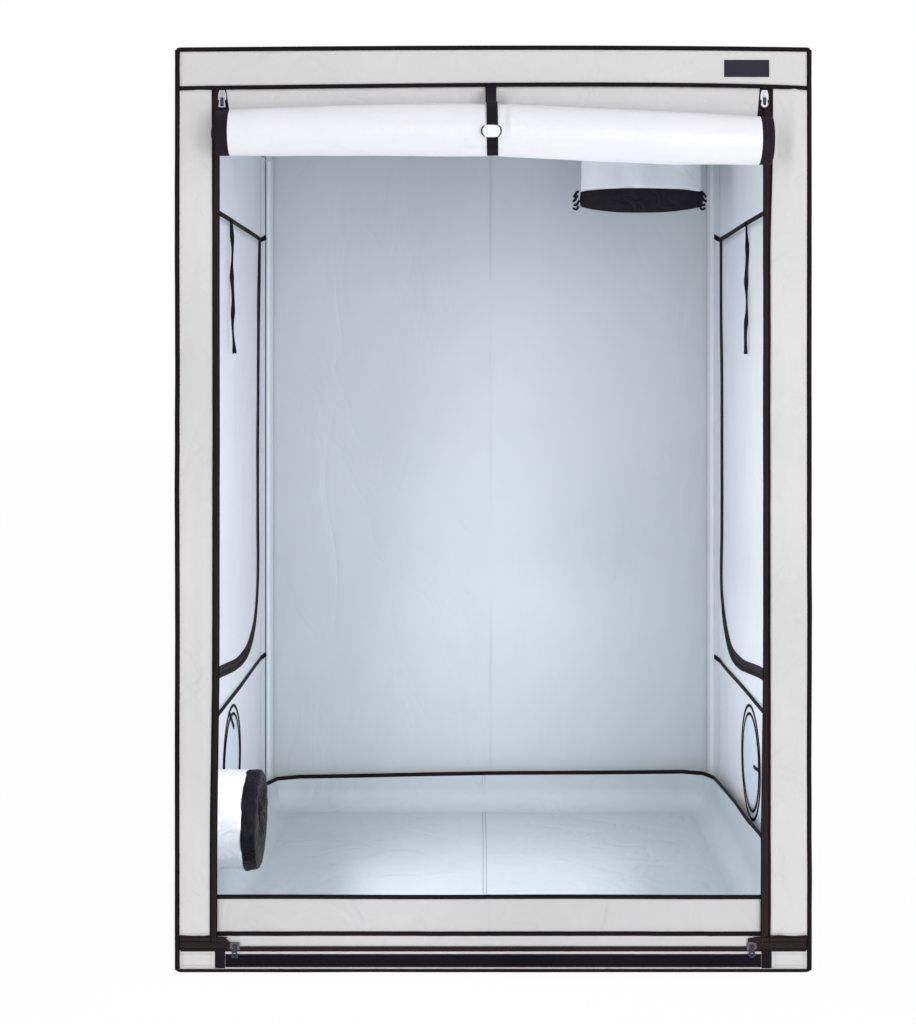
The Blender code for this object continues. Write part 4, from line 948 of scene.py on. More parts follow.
def along_paths(name, tree, paths, finish, body=ROOT, slot="black_tape", **sizes):
    """Run a tree along paths, each (points, facing) or (points, facing, closed).

    facing is one direction for the whole path, or one for each of its points.
    """
    points, edges, facings = [], [], []
    for path in paths:
        line, facing = path[0], path[1]
        start = len(points)
        points += [tuple(point) for point in line]
        edges += [(start + i, start + i + 1) for i in range(len(line) - 1)]
        if len(path) > 2 and path[2]:
            edges.append((start + len(line) - 1, start))
        single = not hasattr(facing[0], "__len__")
        facings += [tuple(facing)] * len(line) if single else [tuple(way) for way in facing]
    mesh = bpy.data.meshes.new(name)
    mesh.from_pydata(points, edges, [])
    layer = mesh.attributes.new("facing", "FLOAT_VECTOR", "POINT")
    layer.data.foreach_set("vector", np.asarray(facings, np.float32).ravel())
    thing = bpy.data.objects.new(name, mesh)
    bpy.context.scene.collection.objects.link(thing)
    modifier = thing.modifiers.new(name, "NODES")
    modifier.node_group = tree
    for item in tree.interface.items_tree:
        if item.in_out == "INPUT" and item.name in sizes:
            modifier[item.identifier] = sizes[item.name]
        elif item.in_out == "INPUT" and item.name == "Finish":
            modifier[item.identifier] = FINISH[finish]
    shown = thing.evaluated_get(bpy.context.evaluated_depsgraph_get())
    made = bpy.data.meshes.new_from_object(shown)
    thing.modifiers.clear()
    thing.data = made
    made.name = name
    bpy.data.meshes.remove(mesh)
    if not made.materials:
        made.materials.append(FINISH[finish])
    return finish_piece(thing, body, slot)


def bound(name, paths, width, depth, finish="binding", **where):
    return along_paths(name, BOUND_EDGE, paths, finish, Width=width, Depth=depth, **where)


def stitched(name, paths, finish="thread", pitch=0.004, thick=0.0004, **where):
    return along_paths(name, STITCHES, paths, finish, Pitch=pitch, Thickness=thick, **where)


def toothed(name, paths, width=0.005, pitch=0.0026, **where):
    return along_paths(name, TEETH, paths, "coil", Pitch=pitch, Width=width, **where)


# Front face

def top_edge(x):
    """Height of the piping over the front, which bows up a little right of the middle."""
    u = x / HEADER_REACH
    return TALL - 0.0062 + TOP_BOW * (1 - u * u) * (1 + 0.3 * u)


def header_edge(x):
    """Height of the binding below the header."""
    u = x / HEADER_REACH
    return HEADER_LOW + 0.0043 + HEADER_BOW * (1 - u * u) ** 0.75 * (1 + 0.55 * u)


def make_front_header():
    reach = FULL[1]
    rows = []
    for share in spread(0, 1, 8):
        rows.append([(x, header_edge(x) + (top_edge(x) - header_edge(x)) * share)
                     for x in spread(-reach, reach, 90)])

    def relief(point):
        x, z = point
        edge = min(abs(z - header_edge(x)), abs(top_edge(x) - z)) + 0.004
        crease = 0.0010 * bump_at(x, 0.653, 0.006)
        return soft_relief(point, 0.0016, 61.0, (1.0, 1.4), edge, 0.22) - crease

    cloth_panel("header_cloth", [rows], over_front(-CLOTH_PLANE), FORWARD, relief,
                flat=(1.49, 0.092), slot="cover_fabric", rests_on=["bar_top_front"],
                stands_for=["front_header"])


def make_jambs():
    """The grey cloth on each side of the doorway, soft and slightly folded by the rolled door."""
    low = 0.0880
    for side, sign in SIDE_SIGN.items():
        outer = sign * FULL[1]
        inner = TAPE_EDGES[side][0] if side == "left" else TAPE_EDGES[side][1]
        columns = [outer + (inner - outer) * step for step in spread(0, 1, 12)]
        rows = [[(x, low + (header_edge(x) - low) * share) for x in columns]
                for share in spread(0, 1, 130)]

        def relief(point, sign=sign, outer=outer, inner=inner):
            x, z = point
            across = (x - outer) / (inner - outer)
            swell = math.sin(math.pi * held_in(across))
            folds = 0.0034 * ripple(x * 26, z * 1.3, 70 + sign)
            folds += 0.0016 * ripple(x * 60, z * 4.0, 75 + sign)
            by_roll = bump_at(z, 1.958, 0.052)
            pushed = 0.0052 * by_roll * math.sin(math.pi * across * 1.7)
            pushed -= 0.0024 * by_roll * bump_at(across, 0.62, 0.05)
            slant = (z - 1.975) + (x - sign * 0.70) * 1.6 * sign
            pushed += 0.0016 * by_roll * bump_at(slant, 0.0, 0.012)
            return swell * (0.0018 + folds + pushed)

        cloth_panel(side + "_jamb_cloth", [rows], over_front(-CLOTH_PLANE), FORWARD, relief,
                    flat=(0.085, 2.0), slot="cover_fabric", rests_on=["post_front_" + side],
                    stands_for=["front_jamb_" + side])


def wobble(z, seed, size=0.0006):
    return size * ripple(seed, z * 5.0, 0.3) + size * 0.5 * ripple(seed, z * 17.0, 3.0)


def make_front_zips():
    """Zip tape on the edge of each jamb: its bound outer edge, and the coil on its inner edge."""
    low = ZIP_CENTRE + 0.006
    # how far each side's tape opens at the rolled door, and drifts at its foot
    for side, opening, outer_drift, inner_drift in (("left", -0.0058 * 0.2, -0.0068, -0.0060),
                                                    ("right", 0.0058, 0.0006, -0.0056)):
        sign = SIDE_SIGN[side]
        near, far = TAPE_EDGES[side]
        outer, inner = (near, far) if side == "left" else (far, near)
        heights = spread(low, header_edge(inner) - 0.002, 180)
        swayed = [eased((0.85 - z) / 0.65) for z in heights]
        outers = [outer + opening * eased((z - 1.68) / 0.28) + outer_drift * sway
                  for z, sway in zip(heights, swayed)]
        inners = [inner + inner_drift * sway for sway in swayed]
        rows = [[(a + (b - a) * share + wobble(z, sign), z) for share in spread(0, 1, 4)]
                for a, b, z in zip(outers, inners, heights)]
        cloth_panel(side + "_zip_tape", [rows], over_front(LAYER["zip tape"]),
                    FORWARD, lambda point: 0.0003 * math.sin(point[1] * 40),
                    finishes=("zip tape",), flat=(0.0148, 2.0), slot="black_tape",
                    rests_on=[side + "_jamb_cloth"], stands_for=["front_zip_" + side])

        def beside(edges, shift, layer):
            return [([(x + sign * shift + wobble(z, sign), LAYER[layer], z)
                      for x, z in zip(edges, heights)], FORWARD)]

        bound(side + "_zip_edging", beside(outers, -0.0005, "edging"), 0.0052, 0.0024)
        bound(side + "_zip_cord", beside(inners, 0.0002, "zip cord"), 0.0020, 0.0016)
        toothed(side + "_zip_coil", beside(inners, 0.0036, "zip coil"), width=0.0046)
        [(row, facing)] = beside(outers, 0.0012, "tape stitches")
        stitched(side + "_zip_stitches", [(row[::3], facing)])


def make_cabin_piping():
    """A bead of black binding round every edge of the cabin, slightly wavy."""
    reach, top, low, corner = 0.7452, TALL - 0.0060, 0.0038, 0.010
    straight = reach - corner
    # the front edge and the corner at its right end, which quarter turns carry round the cabin
    side = [((t, -reach), (0, -1)) for t in spread(-straight, straight, 60)]
    for bend in spread(0, math.pi / 2, 6)[1:-1]:
        c, s = math.cos(bend), math.sin(bend)
        side.append(((straight + corner * s, -straight - corner * c), (s, -c)))

    def ring(height_at):
        points, facings = [], []
        for c, s in ((1, 0), (0, 1), (-1, 0), (0, -1)):
            for (along, across), (fx, fy) in side:
                x, y = along * c - across * s, along * s + across * c
                points.append((x, y, height_at(x, y)))
                facings.append((fx * c - fy * s, fx * s + fy * c, 0))
        return points, facings, True

    def top_height(x, y):
        if y < -reach + 0.02:
            return top_edge(x) + 0.0002
        along = x if abs(y) > reach - 0.02 else y
        return top + (0.0025 + 0.0010 * ripple(x * 4, y * 4, 5.0)) * (1 - (along / reach) ** 2)

    def low_height(x, y):
        return low + 0.0006 * (1 + ripple(x * 5, y * 5, 9.0))

    uprights = []
    for sx in (-1, 1):
        for sy in (-1, 1):
            line = []
            for z in spread(low + 0.002, top - 0.0005, 160):
                wave = 0.0011 * ripple(z * 3.1, sx * 2.0, sy * 3.0)
                wave += 0.0005 * ripple(z * 11.0, sx * 2.0, sy * 3.0 + 8)
                line.append((sx * (reach + 0.0002 + wave), sy * (reach - 0.0010), z))
            uprights.append((line, (sx * DIAGONAL, sy * DIAGONAL, 0)))
    bound("cabin_piping_top", [ring(top_height)], 0.0116, 0.0112)
    bound("cabin_piping_low", [ring(low_height)], 0.0074, 0.0112)
    bound("cabin_piping_upright", uprights, 0.0134, 0.0126)


def make_front_bindings():
    """The binding between the header and the doorway, with its two rows of stitches."""
    line = [(x, LAYER["binding"], header_edge(x)) for x in spread(-0.7430, 0.7430, 140)]
    bound("header_binding", [(line, FORWARD)], 0.0100, 0.0042)
    rows = []
    for offset in (-0.0030, 0.0030):
        rows.append(([(x, LAYER["binding stitches"], header_edge(x) + offset)
                      for x in spread(-0.738, 0.738, 70)], FORWARD))
    stitched("header_stitches", rows)


# Sides, seen from inside and outside

# The fold of lining over each rear corner: |x| + y on its face, where its binding ends, its middle
FOLD_FACE = 1.4500
FOLD_END = 0.7256
FOLD_CENTRE = (0.7290, 0.7238)


def fold_shade_line_shift(sign):
    """How far the painted shade line on a rear corner's fold lies towards the side wall."""
    return DIAGONAL * (0.0082 - sign * 0.0028)


def make_side_seams():
    """Seam bindings across each side wall, on both faces, and over the rear fold inside."""
    reach = 0.7400
    for side, sign in SIDE_SIGN.items():
        paths = []
        for inside in (-1, 1):
            plane = CLOTH_PLANE + inside * 0.0012
            over_fold = FOLD_FACE - plane
            end = FOLD_END - fold_shade_line_shift(sign) if inside < 0 else reach
            upper, lower, facings = [], [], []
            for y in spread(-reach, over_fold, 118) + spread(over_fold, end, 4)[1:]:
                out = min(plane, FOLD_FACE - y) if inside < 0 else plane
                wave = 0.0012 * ripple(y * 3.0, sign * 7.0, 1.0) + 0.75 * (plane - out)
                drift = 0.0045 * sign * eased((y - 0.2) / 0.45)
                bow = 1 - (y / reach) ** 2
                upper.append((sign * out, y, SIDE_SEAM + wave + 0.002 * bow))
                lower.append((sign * out, y, LOW_SEAM + wave - drift - 0.003 * bow))
                facings.append((sign * inside, 0, 0) if out == plane
                               else (-sign * DIAGONAL, -DIAGONAL, 0))
            paths += [(upper, facings), (lower, facings)]
        bound(side + "_seam_binding", paths, SEAM + 0.0028, 0.0026)


def side_zip_path(side, inside, grow):
    """Down one side of the side door, round its foot and up the other, grow outside its edge."""
    plane = SIDE_SIGN[side] * (CLOTH_PLANE + inside * 0.0016)
    rows = side_door_rows()
    foot = side_zip_reach(rows[0])
    line = [(-side_zip_reach(z), z) for z in reversed(rows)]
    line += [(y, rows[0]) for y in spread(-foot, foot, 40)[1:-1]]
    line += [(side_zip_reach(z), z) for z in rows]
    line = [slack(side, y, z) for y, z in line]
    points = []
    for i, (y, z) in enumerate(line):
        (y0, z0), (y1, z1) = line[max(0, i - 1)], line[min(len(line) - 1, i + 1)]
        long = math.hypot(y1 - y0, z1 - z0)
        out = grow(y, z) if callable(grow) else grow
        points.append((plane, y + out * (z1 - z0) / long, z - out * (y1 - y0) / long))
    return points


# Width of the band inside each side door's foot, along the depth
FOOT_BANDS = soft_table([0.20, 0.25, 0.30, 0.36, 0.42, 0.47, 0.52],
                        [0.006, 0.0095, 0.012, 0.014, 0.0155, 0.018, 0.023])


def make_side_zips():
    """The zip round each side door, its edging, the door's edge tape, and the foot's band."""
    for side, sign in SIDE_SIGN.items():
        for inside in (-1, 1):
            where = side + ("_inner" if inside < 0 else "_outer")

            def raised(grow, lift):
                return [([(x + sign * inside * lift, y, z)
                          for x, y, z in side_zip_path(side, inside, grow)],
                         (sign * inside, 0, 0))]

            bound(where + "_door_zip_tape", raised(0.002, 0), 0.0280, 0.0030, "zip tape")
            toothed(where + "_door_zip_coil", raised(0.002, 0.0022), width=0.0066, pitch=0.0042)
            bound(where + "_door_zip_edging", raised(0.0135, 0.0016), 0.0060, 0.0052)
            bound(where + "_door_edge_tape", raised(-0.0055, -0.0009), 0.0125, 0.0014, "zip tape",
                  body=side + "_side_door")
        bands = []
        for step in range(4):
            def beside(y, z, share=(step + 1) / 4):
                wide = from_table(FOOT_BANDS, abs(y)) * (1 - eased((z - 0.66) / 0.14))
                return 0.0116 + wide * share

            sunk = sign * (0.0006 - 0.0001 * step)
            bands.append(([(x - sunk, y, z) for x, y, z in side_zip_path(side, -1, beside)
                           if z < 0.81], (-sign, 0, 0)))
        bound(side + "_door_foot_band", bands, 0.0088, 0.0014, "webbing")


# Rolled front door, its strap and toggle

ROLL_RADIUS = 0.058
ROLL_CORE = 0.0135
ROLL_BACK = -0.7471
ROLL_HEIGHT = 1.975
ROLL_TURNS = 8.6
ROLL_ENDS = (-0.6445, 0.6465)
BAND_EDGES = (-0.6145, 0.6180)
BAND_EDGES_AT_HEADER = (-0.6310, 0.6290)
STRAP_PLACE = -0.005
STRAP_WIDTH = 0.026
PLACES = np.array([-1.0, -0.66, -0.34, -0.10, -0.032, 0.017, 0.09, 0.34, 0.66, 1.0]) * 0.648
RADIUS_SHARES = [0.86, 0.94, 0.98, 1.005, 0.995, 0.995, 1.01, 1.02, 1.00, 0.90]
DROP_SHARES = [-0.01, -0.08, -0.12, -0.12, -0.11, -0.11, -0.08, 0.06, 0.21, 0.31]
ROLL_OVAL = 1.10
# Dents (below 0) and bulges of the outer turn: depth, then place and size along and around it.
# The last three are the tuck low on the left of the strap.
ROLL_DENTS = ((-0.0052, 0.026, 0.0080, 0.56, 0.10), (0.0026, 0.040, 0.0060, 0.55, 0.08),
              (0.0016, -0.032, 0.0080, 0.52, 0.12), (-0.0060, -0.037, 0.015, 0.335, 0.030),
              (-0.0100, -0.036, 0.016, 0.352, 0.012), (0.0030, -0.050, 0.022, 0.385, 0.020))
# Pulls that spread from the strap's hold: slope and reach
STRAP_PULLS = ((0.9, 0.05), (-0.8, 0.06), (0.35, 0.07))


def along_the_roll(shares):
    """A smooth table of lengths along the roll, from shares of its radius."""
    return soft_table(PLACES, np.array(shares) * ROLL_RADIUS, 0.016, (-0.72, 0.72), 0.001, 60)


ROLL_RADII = along_the_roll(RADIUS_SHARES)
ROLL_DROPS = along_the_roll(DROP_SHARES)


def roll_wrinkle(x, turn):
    """How far the outer turn stands from a plain roll. turn 0.5 faces forward, 0.75 is the top."""
    total = 0.0011 * ripple(x * 2.4, turn * 9.0, 4.0)
    total += 0.0007 * ripple(x * 11.0 + turn * 5.0, turn * 6.0, 9.0)
    total += 0.00035 * ripple(x * 38.0, turn * 16.0 + x * 9.0, 13.0)
    total -= 0.0012 * bump_at(x, STRAP_PLACE, 0.022)
    for depth, place, wide, at, high in ROLL_DENTS:
        total += depth * bump_at(x, place, wide) * bump_at(turn, at, high)
    crease = (x + 0.022) + (turn - 0.40) * 0.06
    total -= 0.0014 * bump_at(crease, 0.0, 0.0018) * bump_at(turn, 0.40, 0.035)
    for angle, reach in STRAP_PULLS:
        line = (turn - 0.60) * 0.36 - (x - STRAP_PLACE) * angle
        middle = STRAP_PLACE + math.copysign(0.05, angle)
        total += 0.0007 * bump_at(line, 0.0, 0.005) * bump_at(x, middle, reach)
    return total


def roll_centre(x):
    """The middle of the roll at x, as (y, z): it lies against the header's cloth."""
    return ROLL_BACK - from_table(ROLL_RADII, x), ROLL_HEIGHT - from_table(ROLL_DROPS, x)


def roll_point(x, turn, telescope=0.0):
    radius = from_table(ROLL_RADII, x)
    pitch = (radius - ROLL_CORE) / ROLL_TURNS
    centre_y, centre_z = roll_centre(x)
    grip = max(0.0, 1.0 - turn / 3.0)
    reach = radius - 0.0006 - pitch * turn
    reach += grip * roll_wrinkle(x, min(turn, 1.0)) * min(1.0, turn / 0.12)
    angle = math.tau * turn
    return (x + telescope, centre_y + reach * math.cos(angle),
            centre_z - reach * math.sin(angle) * ROLL_OVAL)


def hanging_point(x, rise):
    """The door's cloth between the header, at rise 1, and the roll, at rise 0."""
    side = 0 if x < 0 else 1
    edge, high, end = BAND_EDGES[side], BAND_EDGES_AT_HEADER[side], ROLL_ENDS[side]
    beyond = max(0.0, (x - edge) / (end - edge)) if abs(x) > abs(edge) else 0.0
    shift = (high - edge) * min(1.0, x / edge) * rise * (1 - 0.6 * beyond)
    pulled = 0.0060 * bump_at(x, -0.062, 0.020) + 0.0040 * bump_at(x, 0.042, 0.012)
    pulled -= 0.016 * bump_at(x, -0.016, 0.024) + 0.012 * bump_at(x, 0.012, 0.016)
    pulled *= math.sin(math.pi * min(1.0, rise * 1.15)) if rise < 0.87 else 0.0
    lean = 0.0016 * ripple(x * 7.0, rise * 2.0, 6.0) * math.sin(math.pi * rise)
    low = roll_centre(x)[1]
    return (x + shift, -CLOTH_PLANE + 0.0004 * rise - pulled - lean,
            low + (header_edge(x) - 0.002 - low) * rise)


def make_rolled_door():
    """One sheet that hangs from the header and is rolled outwards, lining face out."""
    dense = spread(STRAP_PLACE - 0.12, STRAP_PLACE + 0.12, 80)
    columns = spread(ROLL_ENDS[0], BAND_EDGES[0], 4)[:-1]
    columns += spread(BAND_EDGES[0], dense[0], 33)[:-1] + dense
    columns += spread(dense[-1], BAND_EDGES[1], 33)[1:]
    columns += spread(BAND_EDGES[1], ROLL_ENDS[1], 4)[1:]
    turns = [step / 64 for step in range(64)]
    turns += spread(1, ROLL_TURNS, int((ROLL_TURNS - 1) * 20))
    hanging = 9
    points, spots = [], []
    for row in range(hanging):
        rise = 1 - row / hanging
        for x in columns:
            points.append(hanging_point(x, rise))
            spots.append((x, -(1 - rise) * 0.1))
    for turn in turns:
        for x in columns:
            sway = math.sin(turn * 2.3 + (1 if x > 0 else 0)) * min(1.0, turn)
            points.append(roll_point(x, turn, 0.0022 * sway if abs(x) > 0.61 else 0.0))
            spots.append((x, -0.1 - ROLL_RADIUS * math.tau * turn * (1 - 0.045 * turn)))
    rows, width = hanging + len(turns), len(columns)
    middles = [(low + high) / 2 for low, high in zip(columns, columns[1:])]
    bands = [2 if middle < BAND_EDGES[0] or middle > BAND_EDGES[1] else 0 for middle in middles]
    finishes = ["canvas", "door lining", "roll tape", "roll tape"]
    roll = mesh_piece("door_roll_cloth", points, grid_faces(rows, width), finishes, uv=spots,
                      face_finish=bands * (rows - 1))
    if roll.data.polygons[width // 2].normal.y > 0:
        roll.data.flip_normals()
    thicken(roll, finishes)
    finish_piece(roll, ROOT, "door_fabric")
    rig.replaces(roll, "front_door")
    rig.sheet(roll, flat=(1.29, 2.0), held="folded", rests_on=["header_binding"])


def strap_route():
    """From the header's binding, over the rolled door and under it, as (y, z) with its facing."""
    hold = header_edge(STRAP_PLACE)
    line = [(-0.7528, hold + 0.0036), (-0.7532, hold - 0.004)]
    radius = from_table(ROLL_RADII, STRAP_PLACE)
    centre_y, centre_z = roll_centre(STRAP_PLACE)
    top, under, steps = 104, 258, 36
    sunk, slack_at_top = 0.00078, 0.0022
    for step, turn in enumerate(spread(top, under, steps)):
        angle = math.radians(turn)
        reach = radius - sunk + slack_at_top * (1 - step / steps)
        reach += 0.0004 * math.sin(step * 1.1)
        line.append((centre_y + reach * math.cos(angle),
                     centre_z + reach * math.sin(angle) * ROLL_OVAL))
    route, facings = [], []
    for i, (y, z) in enumerate(line):
        before, after = line[max(i - 1, 0)], line[min(i + 1, len(line) - 1)]
        run = Vector((after[0] - before[0], after[1] - before[1])).normalized()
        lean = 0.0030 * (1 - i / len(line)) - 0.0022 * i / len(line)
        route.append((STRAP_PLACE + 0.0022 - lean * 0.4 - 0.002 * (i < 3), y, z))
        facings.append((0, run.y, -run.x))
    return route, facings


def make_strap():
    """The strap that holds the rolled door, stitched along both edges."""
    route, facings = strap_route()
    length = sum((Vector(b) - Vector(a)).length for a, b in zip(route, route[1:]))
    strap = bound("door_strap_webbing", [(route, facings)], STRAP_WIDTH, 0.0018, "webbing")
    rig.replaces(strap, "door_strap")
    rows = []
    for offset in (-0.0105, 0.0105):
        line = [(x + offset, y + way[1] * 0.0010, z + way[2] * 0.0010)
                for (x, y, z), way in zip(route, facings)]
        rows.append((line, facings))
    stitches = stitched("door_strap_stitches", rows, pitch=0.0042, thick=0.0005)
    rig.sheet(strap, flat=(STRAP_WIDTH, length), held="hung", rests_on=["door_roll_cloth"],
             with_pieces=[stitches])
    return strap


def make_toggle_loops():
    """Dark elastic loops that pass round both ends of the toggle."""
    centre_z, back = 1.969, -0.8640
    paths = []
    for way in (-1, 1):
        line = []
        for step in range(13):
            angle = math.radians(-62 + 124 * step / 12)
            x = STRAP_PLACE + way * (0.0085 + 0.0140 * math.cos(angle))
            lift = -0.0058 * max(0.0, math.cos(angle * 1.35))
            line.append((x, back + lift, centre_z + 0.0142 * math.sin(angle)))
        paths.append((line, FORWARD))
    bound("toggle_loops", paths, 0.0030, 0.0026, "webbing")


def make_roll_lug():
    """The free end of the zip that stands out from the left end of the rolled door."""
    outline = [(-0.6425, 1.9925), (-0.6480, 1.9900), (-0.6525, 1.9800), (-0.6532, 1.9650),
               (-0.6515, 1.9560), (-0.6480, 1.9535), (-0.6425, 1.9540)]
    points = [(x, y, z) for y in (-0.8300, -0.8270) for x, z in outline]
    n = len(outline)
    faces = [list(range(n)), list(reversed(range(n, 2 * n)))]
    faces += [(i, i + n, (i + 1) % n + n, (i + 1) % n) for i in range(n)]
    lug = mesh_piece("door_roll_lug", points, faces, ["zip tape"], uv=outline * 2)
    bevel = lug.modifiers.new("soft edge", "BEVEL")
    bevel.width, bevel.segments = 0.0009, 2
    finish_piece(lug, ROOT, "black_tape")


# Foot of the doorway: lip, sill, hook strip and zip ends

# Slanting folds of the lip: depth, place, its height, slope, width and height
LIP_FOLDS = ((0.0012, -0.590, 0.105, -1.3, 0.010, 0.03),
             (-0.0012, -0.610, 0.105, -1.3, 0.010, 0.03),
             (0.0013, 0.500, 0.11, 0.8, 0.007, 0.04))


def make_lip():
    """The low flap across the doorway, bound along its top, with a dark seam tape at its foot."""
    low, high, reach, plane = 0.0460, 0.1772, 0.7000, -0.7422
    seam_height, joint_x = 0.0902, -0.010
    columns = spread(-reach, reach, 150)

    def relief(point):
        x, z = point
        edge = min(z - low, high - z)
        forward = held_in((0.0900 - z) / 0.018) * held_in((0.640 - abs(x)) / 0.04)
        soft = soft_relief(point, 0.0016, 81.0, (1.6, 0.8), edge + 0.008, 0.16)
        soft += 0.0050 * eased(forward)
        for depth, at, middle, slope, wide, tall in LIP_FOLDS:
            beside = (x - at) + (z - middle) * slope
            soft += depth * bump_at(beside, 0.0, wide) * bump_at(z, middle, tall)
        soft -= 0.0008 * bump_at(x, joint_x, 0.004)
        return soft + 0.0035 * max(0.0, (abs(x) - 0.66) / 0.04)

    def across(z, proud, wave=0.0):
        return [(x, plane - proud - relief((x, z)), z + wave * math.sin(x * 9)) for x in columns]

    # the lip's outside takes the grey canvas made darker, as painted shade
    cloth_panel("lip_cloth", [rectangle(columns, spread(low, high, 22))], over_front(plane),
                FORWARD, relief, finishes=("lip canvas", "lining"), flat=(1.40, 0.135),
                held="hung", slot="cover_fabric", rests_on=["sill_cloth"],
                stands_for=["front_lip"])
    bound("lip_top_binding", [(across(high, 0.0007, 0.0005), FORWARD)], 0.0108, 0.0034)
    bound("lip_seam_tape", [(across(seam_height, 0.0013), FORWARD)], 0.0112, 0.0018)
    joint = [(joint_x, plane - 0.0008 - relief((joint_x, z)), z)
             for z in spread(0.095, high - 0.004, 12)]
    stitched("lip_joint_stitches", [(joint, FORWARD)], "pale thread", slot="cover_fabric")
    rows = [(across(z, 0.0007), FORWARD) for z in (0.1008, 0.1690)]
    stitched("lip_stitches", rows, "pale thread", pitch=0.0042, slot="cover_fabric")


def make_sill():
    """The low sill with its corner blocks, and the black hook strip along it."""
    reach, low, high = FULL[1], 0.0085, 0.0530

    def relief(point):
        edge = min(point[1] - low, high - point[1])
        return soft_relief(point, 0.0012, 91.0, (1.5, 1.0), edge + 0.01, 0.12)

    def pile(point):
        return 0.0004 * ripple(point[0] * 70, point[1] * 70, 2.0)

    cloth_panel("sill_cloth", [rectangle(spread(-reach, reach, 120), spread(low, high, 7))],
                over_front(-CLOTH_PLANE), FORWARD, relief, flat=(1.49, 0.05),
                slot="cover_fabric", rests_on=["bar_bottom_front"], stands_for=["front_sill"])
    strip = rectangle(spread(-0.632, 0.632, 150), spread(0.0134, 0.0440, 8))
    cloth_panel("hook_strip_pile", [strip], over_front(LAYER["hook pile"]), FORWARD, pile,
                finishes=("hook pile",), flat=(1.264, 0.031), slot="black_tape",
                rests_on=["sill_cloth"], stands_for=["sill_hook_strip"])
    rows = [([(x, LAYER["hook stitches"], z) for x in spread(-0.630, 0.630, 80)], FORWARD)
            for z in (0.0158, 0.0416)]
    stitched("hook_strip_stitches", rows)
    uprights, blocks = [], []
    for sign in (-1, 1):
        uprights.append(([(sign * 0.6450, LAYER["closed tape"], z)
                          for z in spread(0.0110, 0.0520, 8)], FORWARD))
        for z in (0.0170, 0.0440):
            blocks.append(([(sign * x, LAYER["binding"], z) for x in spread(0.665, 0.736, 10)],
                           FORWARD))
        for x in (0.6660, 0.7330):
            blocks.append(([(sign * x, LAYER["binding"], z) for z in spread(0.0150, 0.0460, 6)],
                           FORWARD))
    bound("sill_upright_tapes", uprights, 0.0240, 0.0022, "webbing")
    stitched("corner_block_stitches", blocks, "pale thread", pitch=0.0044, thick=0.0006,
             slot="cover_fabric")


def make_sill_zip():
    """The lower half of the door's zip runs along the sill, and is closed at both corners."""
    sheet = rectangle(spread(-0.7380, 0.7380, 160), spread(0.0502, 0.0624, 4))
    cloth_panel("sill_zip_tape", [sheet], over_front(LAYER["sill tape"]), FORWARD,
                lambda point: 0.0003 * ripple(point[0] * 9, 0, 1.0),
                finishes=("zip tape",), flat=(1.476, 0.010), slot="black_tape",
                rests_on=["sill_cloth"], stands_for=["sill_zip"])
    coil = [(x, LAYER["edging"], 0.0606) for x in spread(-0.6000, 0.6000, 60)]
    toothed("sill_zip_coil", [(coil, FORWARD)], width=0.0044)
    outer, foot = 0.7395, 0.0535
    for side, end, cut in (("left", 0.6180, 0.014), ("right", 0.6010, 0.003)):
        sign = SIDE_SIGN[side]
        rows = []
        for share in spread(0, 1, 6):
            row = []
            for step in spread(0, 1, 20):
                top = 0.0885 - 0.0040 * step - (cut * max(0.0, step - 0.85) / 0.15)
                row.append((sign * (outer + (end - outer) * step), foot + (top - foot) * share))
            rows.append(row)

        def relief(point):
            return 0.0006 * ripple(point[0] * 30, point[1] * 20, 7.0) + 0.0004

        cloth_panel(side + "_closed_zip_tape", [rows], over_front(LAYER["closed tape"]), FORWARD,
                    relief, finishes=("zip tape",), flat=(0.125, 0.035), slot="black_tape",
                    rests_on=["sill_cloth"])
        joined = [(sign * x, LAYER["closed coil"], ZIP_CENTRE + 0.0006)
                  for x in spread(0.622, 0.735, 30)]
        toothed(side + "_closed_zip_coil", [(joined, FORWARD)], width=0.0068)
        lines = [([(sign * x, LAYER["closed edges"], z - 0.03 * max(0.0, 0.66 - x))
                   for x in spread(0.628, 0.737, 20)], FORWARD) for z in (0.0562, 0.0735, 0.0842)]
        bound(side + "_closed_zip_edges", lines, 0.0026, 0.0016)


# Floor tray

TRAY = 0.714
# Height of the tray's rim along each wall: places and heights
TRAY_RIMS = {"rear": ([-TRAY, 0.0, 0.5, TRAY], [0.1040, 0.1165, 0.1195, 0.1215]),
             "front": ([-TRAY, -0.3, 0.4, TRAY], [0.140, 0.150, 0.148, 0.160]),
             "right": ([-TRAY, -0.277, -0.042, 0.218, 0.542, TRAY],
                       [0.160, 0.186, 0.167, 0.158, 0.136, 0.1215]),
             "left": ([-TRAY, 0.2, TRAY], [0.140, 0.128, 0.104])}


def tray_rim(x, y):
    """Height of the tray's rim, which stands unevenly as soft cloth does."""
    if abs(y) >= abs(x) - 1e-6:
        return from_table(TRAY_RIMS["rear" if y > 0 else "front"], x)
    return from_table(TRAY_RIMS["right" if x > 0 else "left"], y)


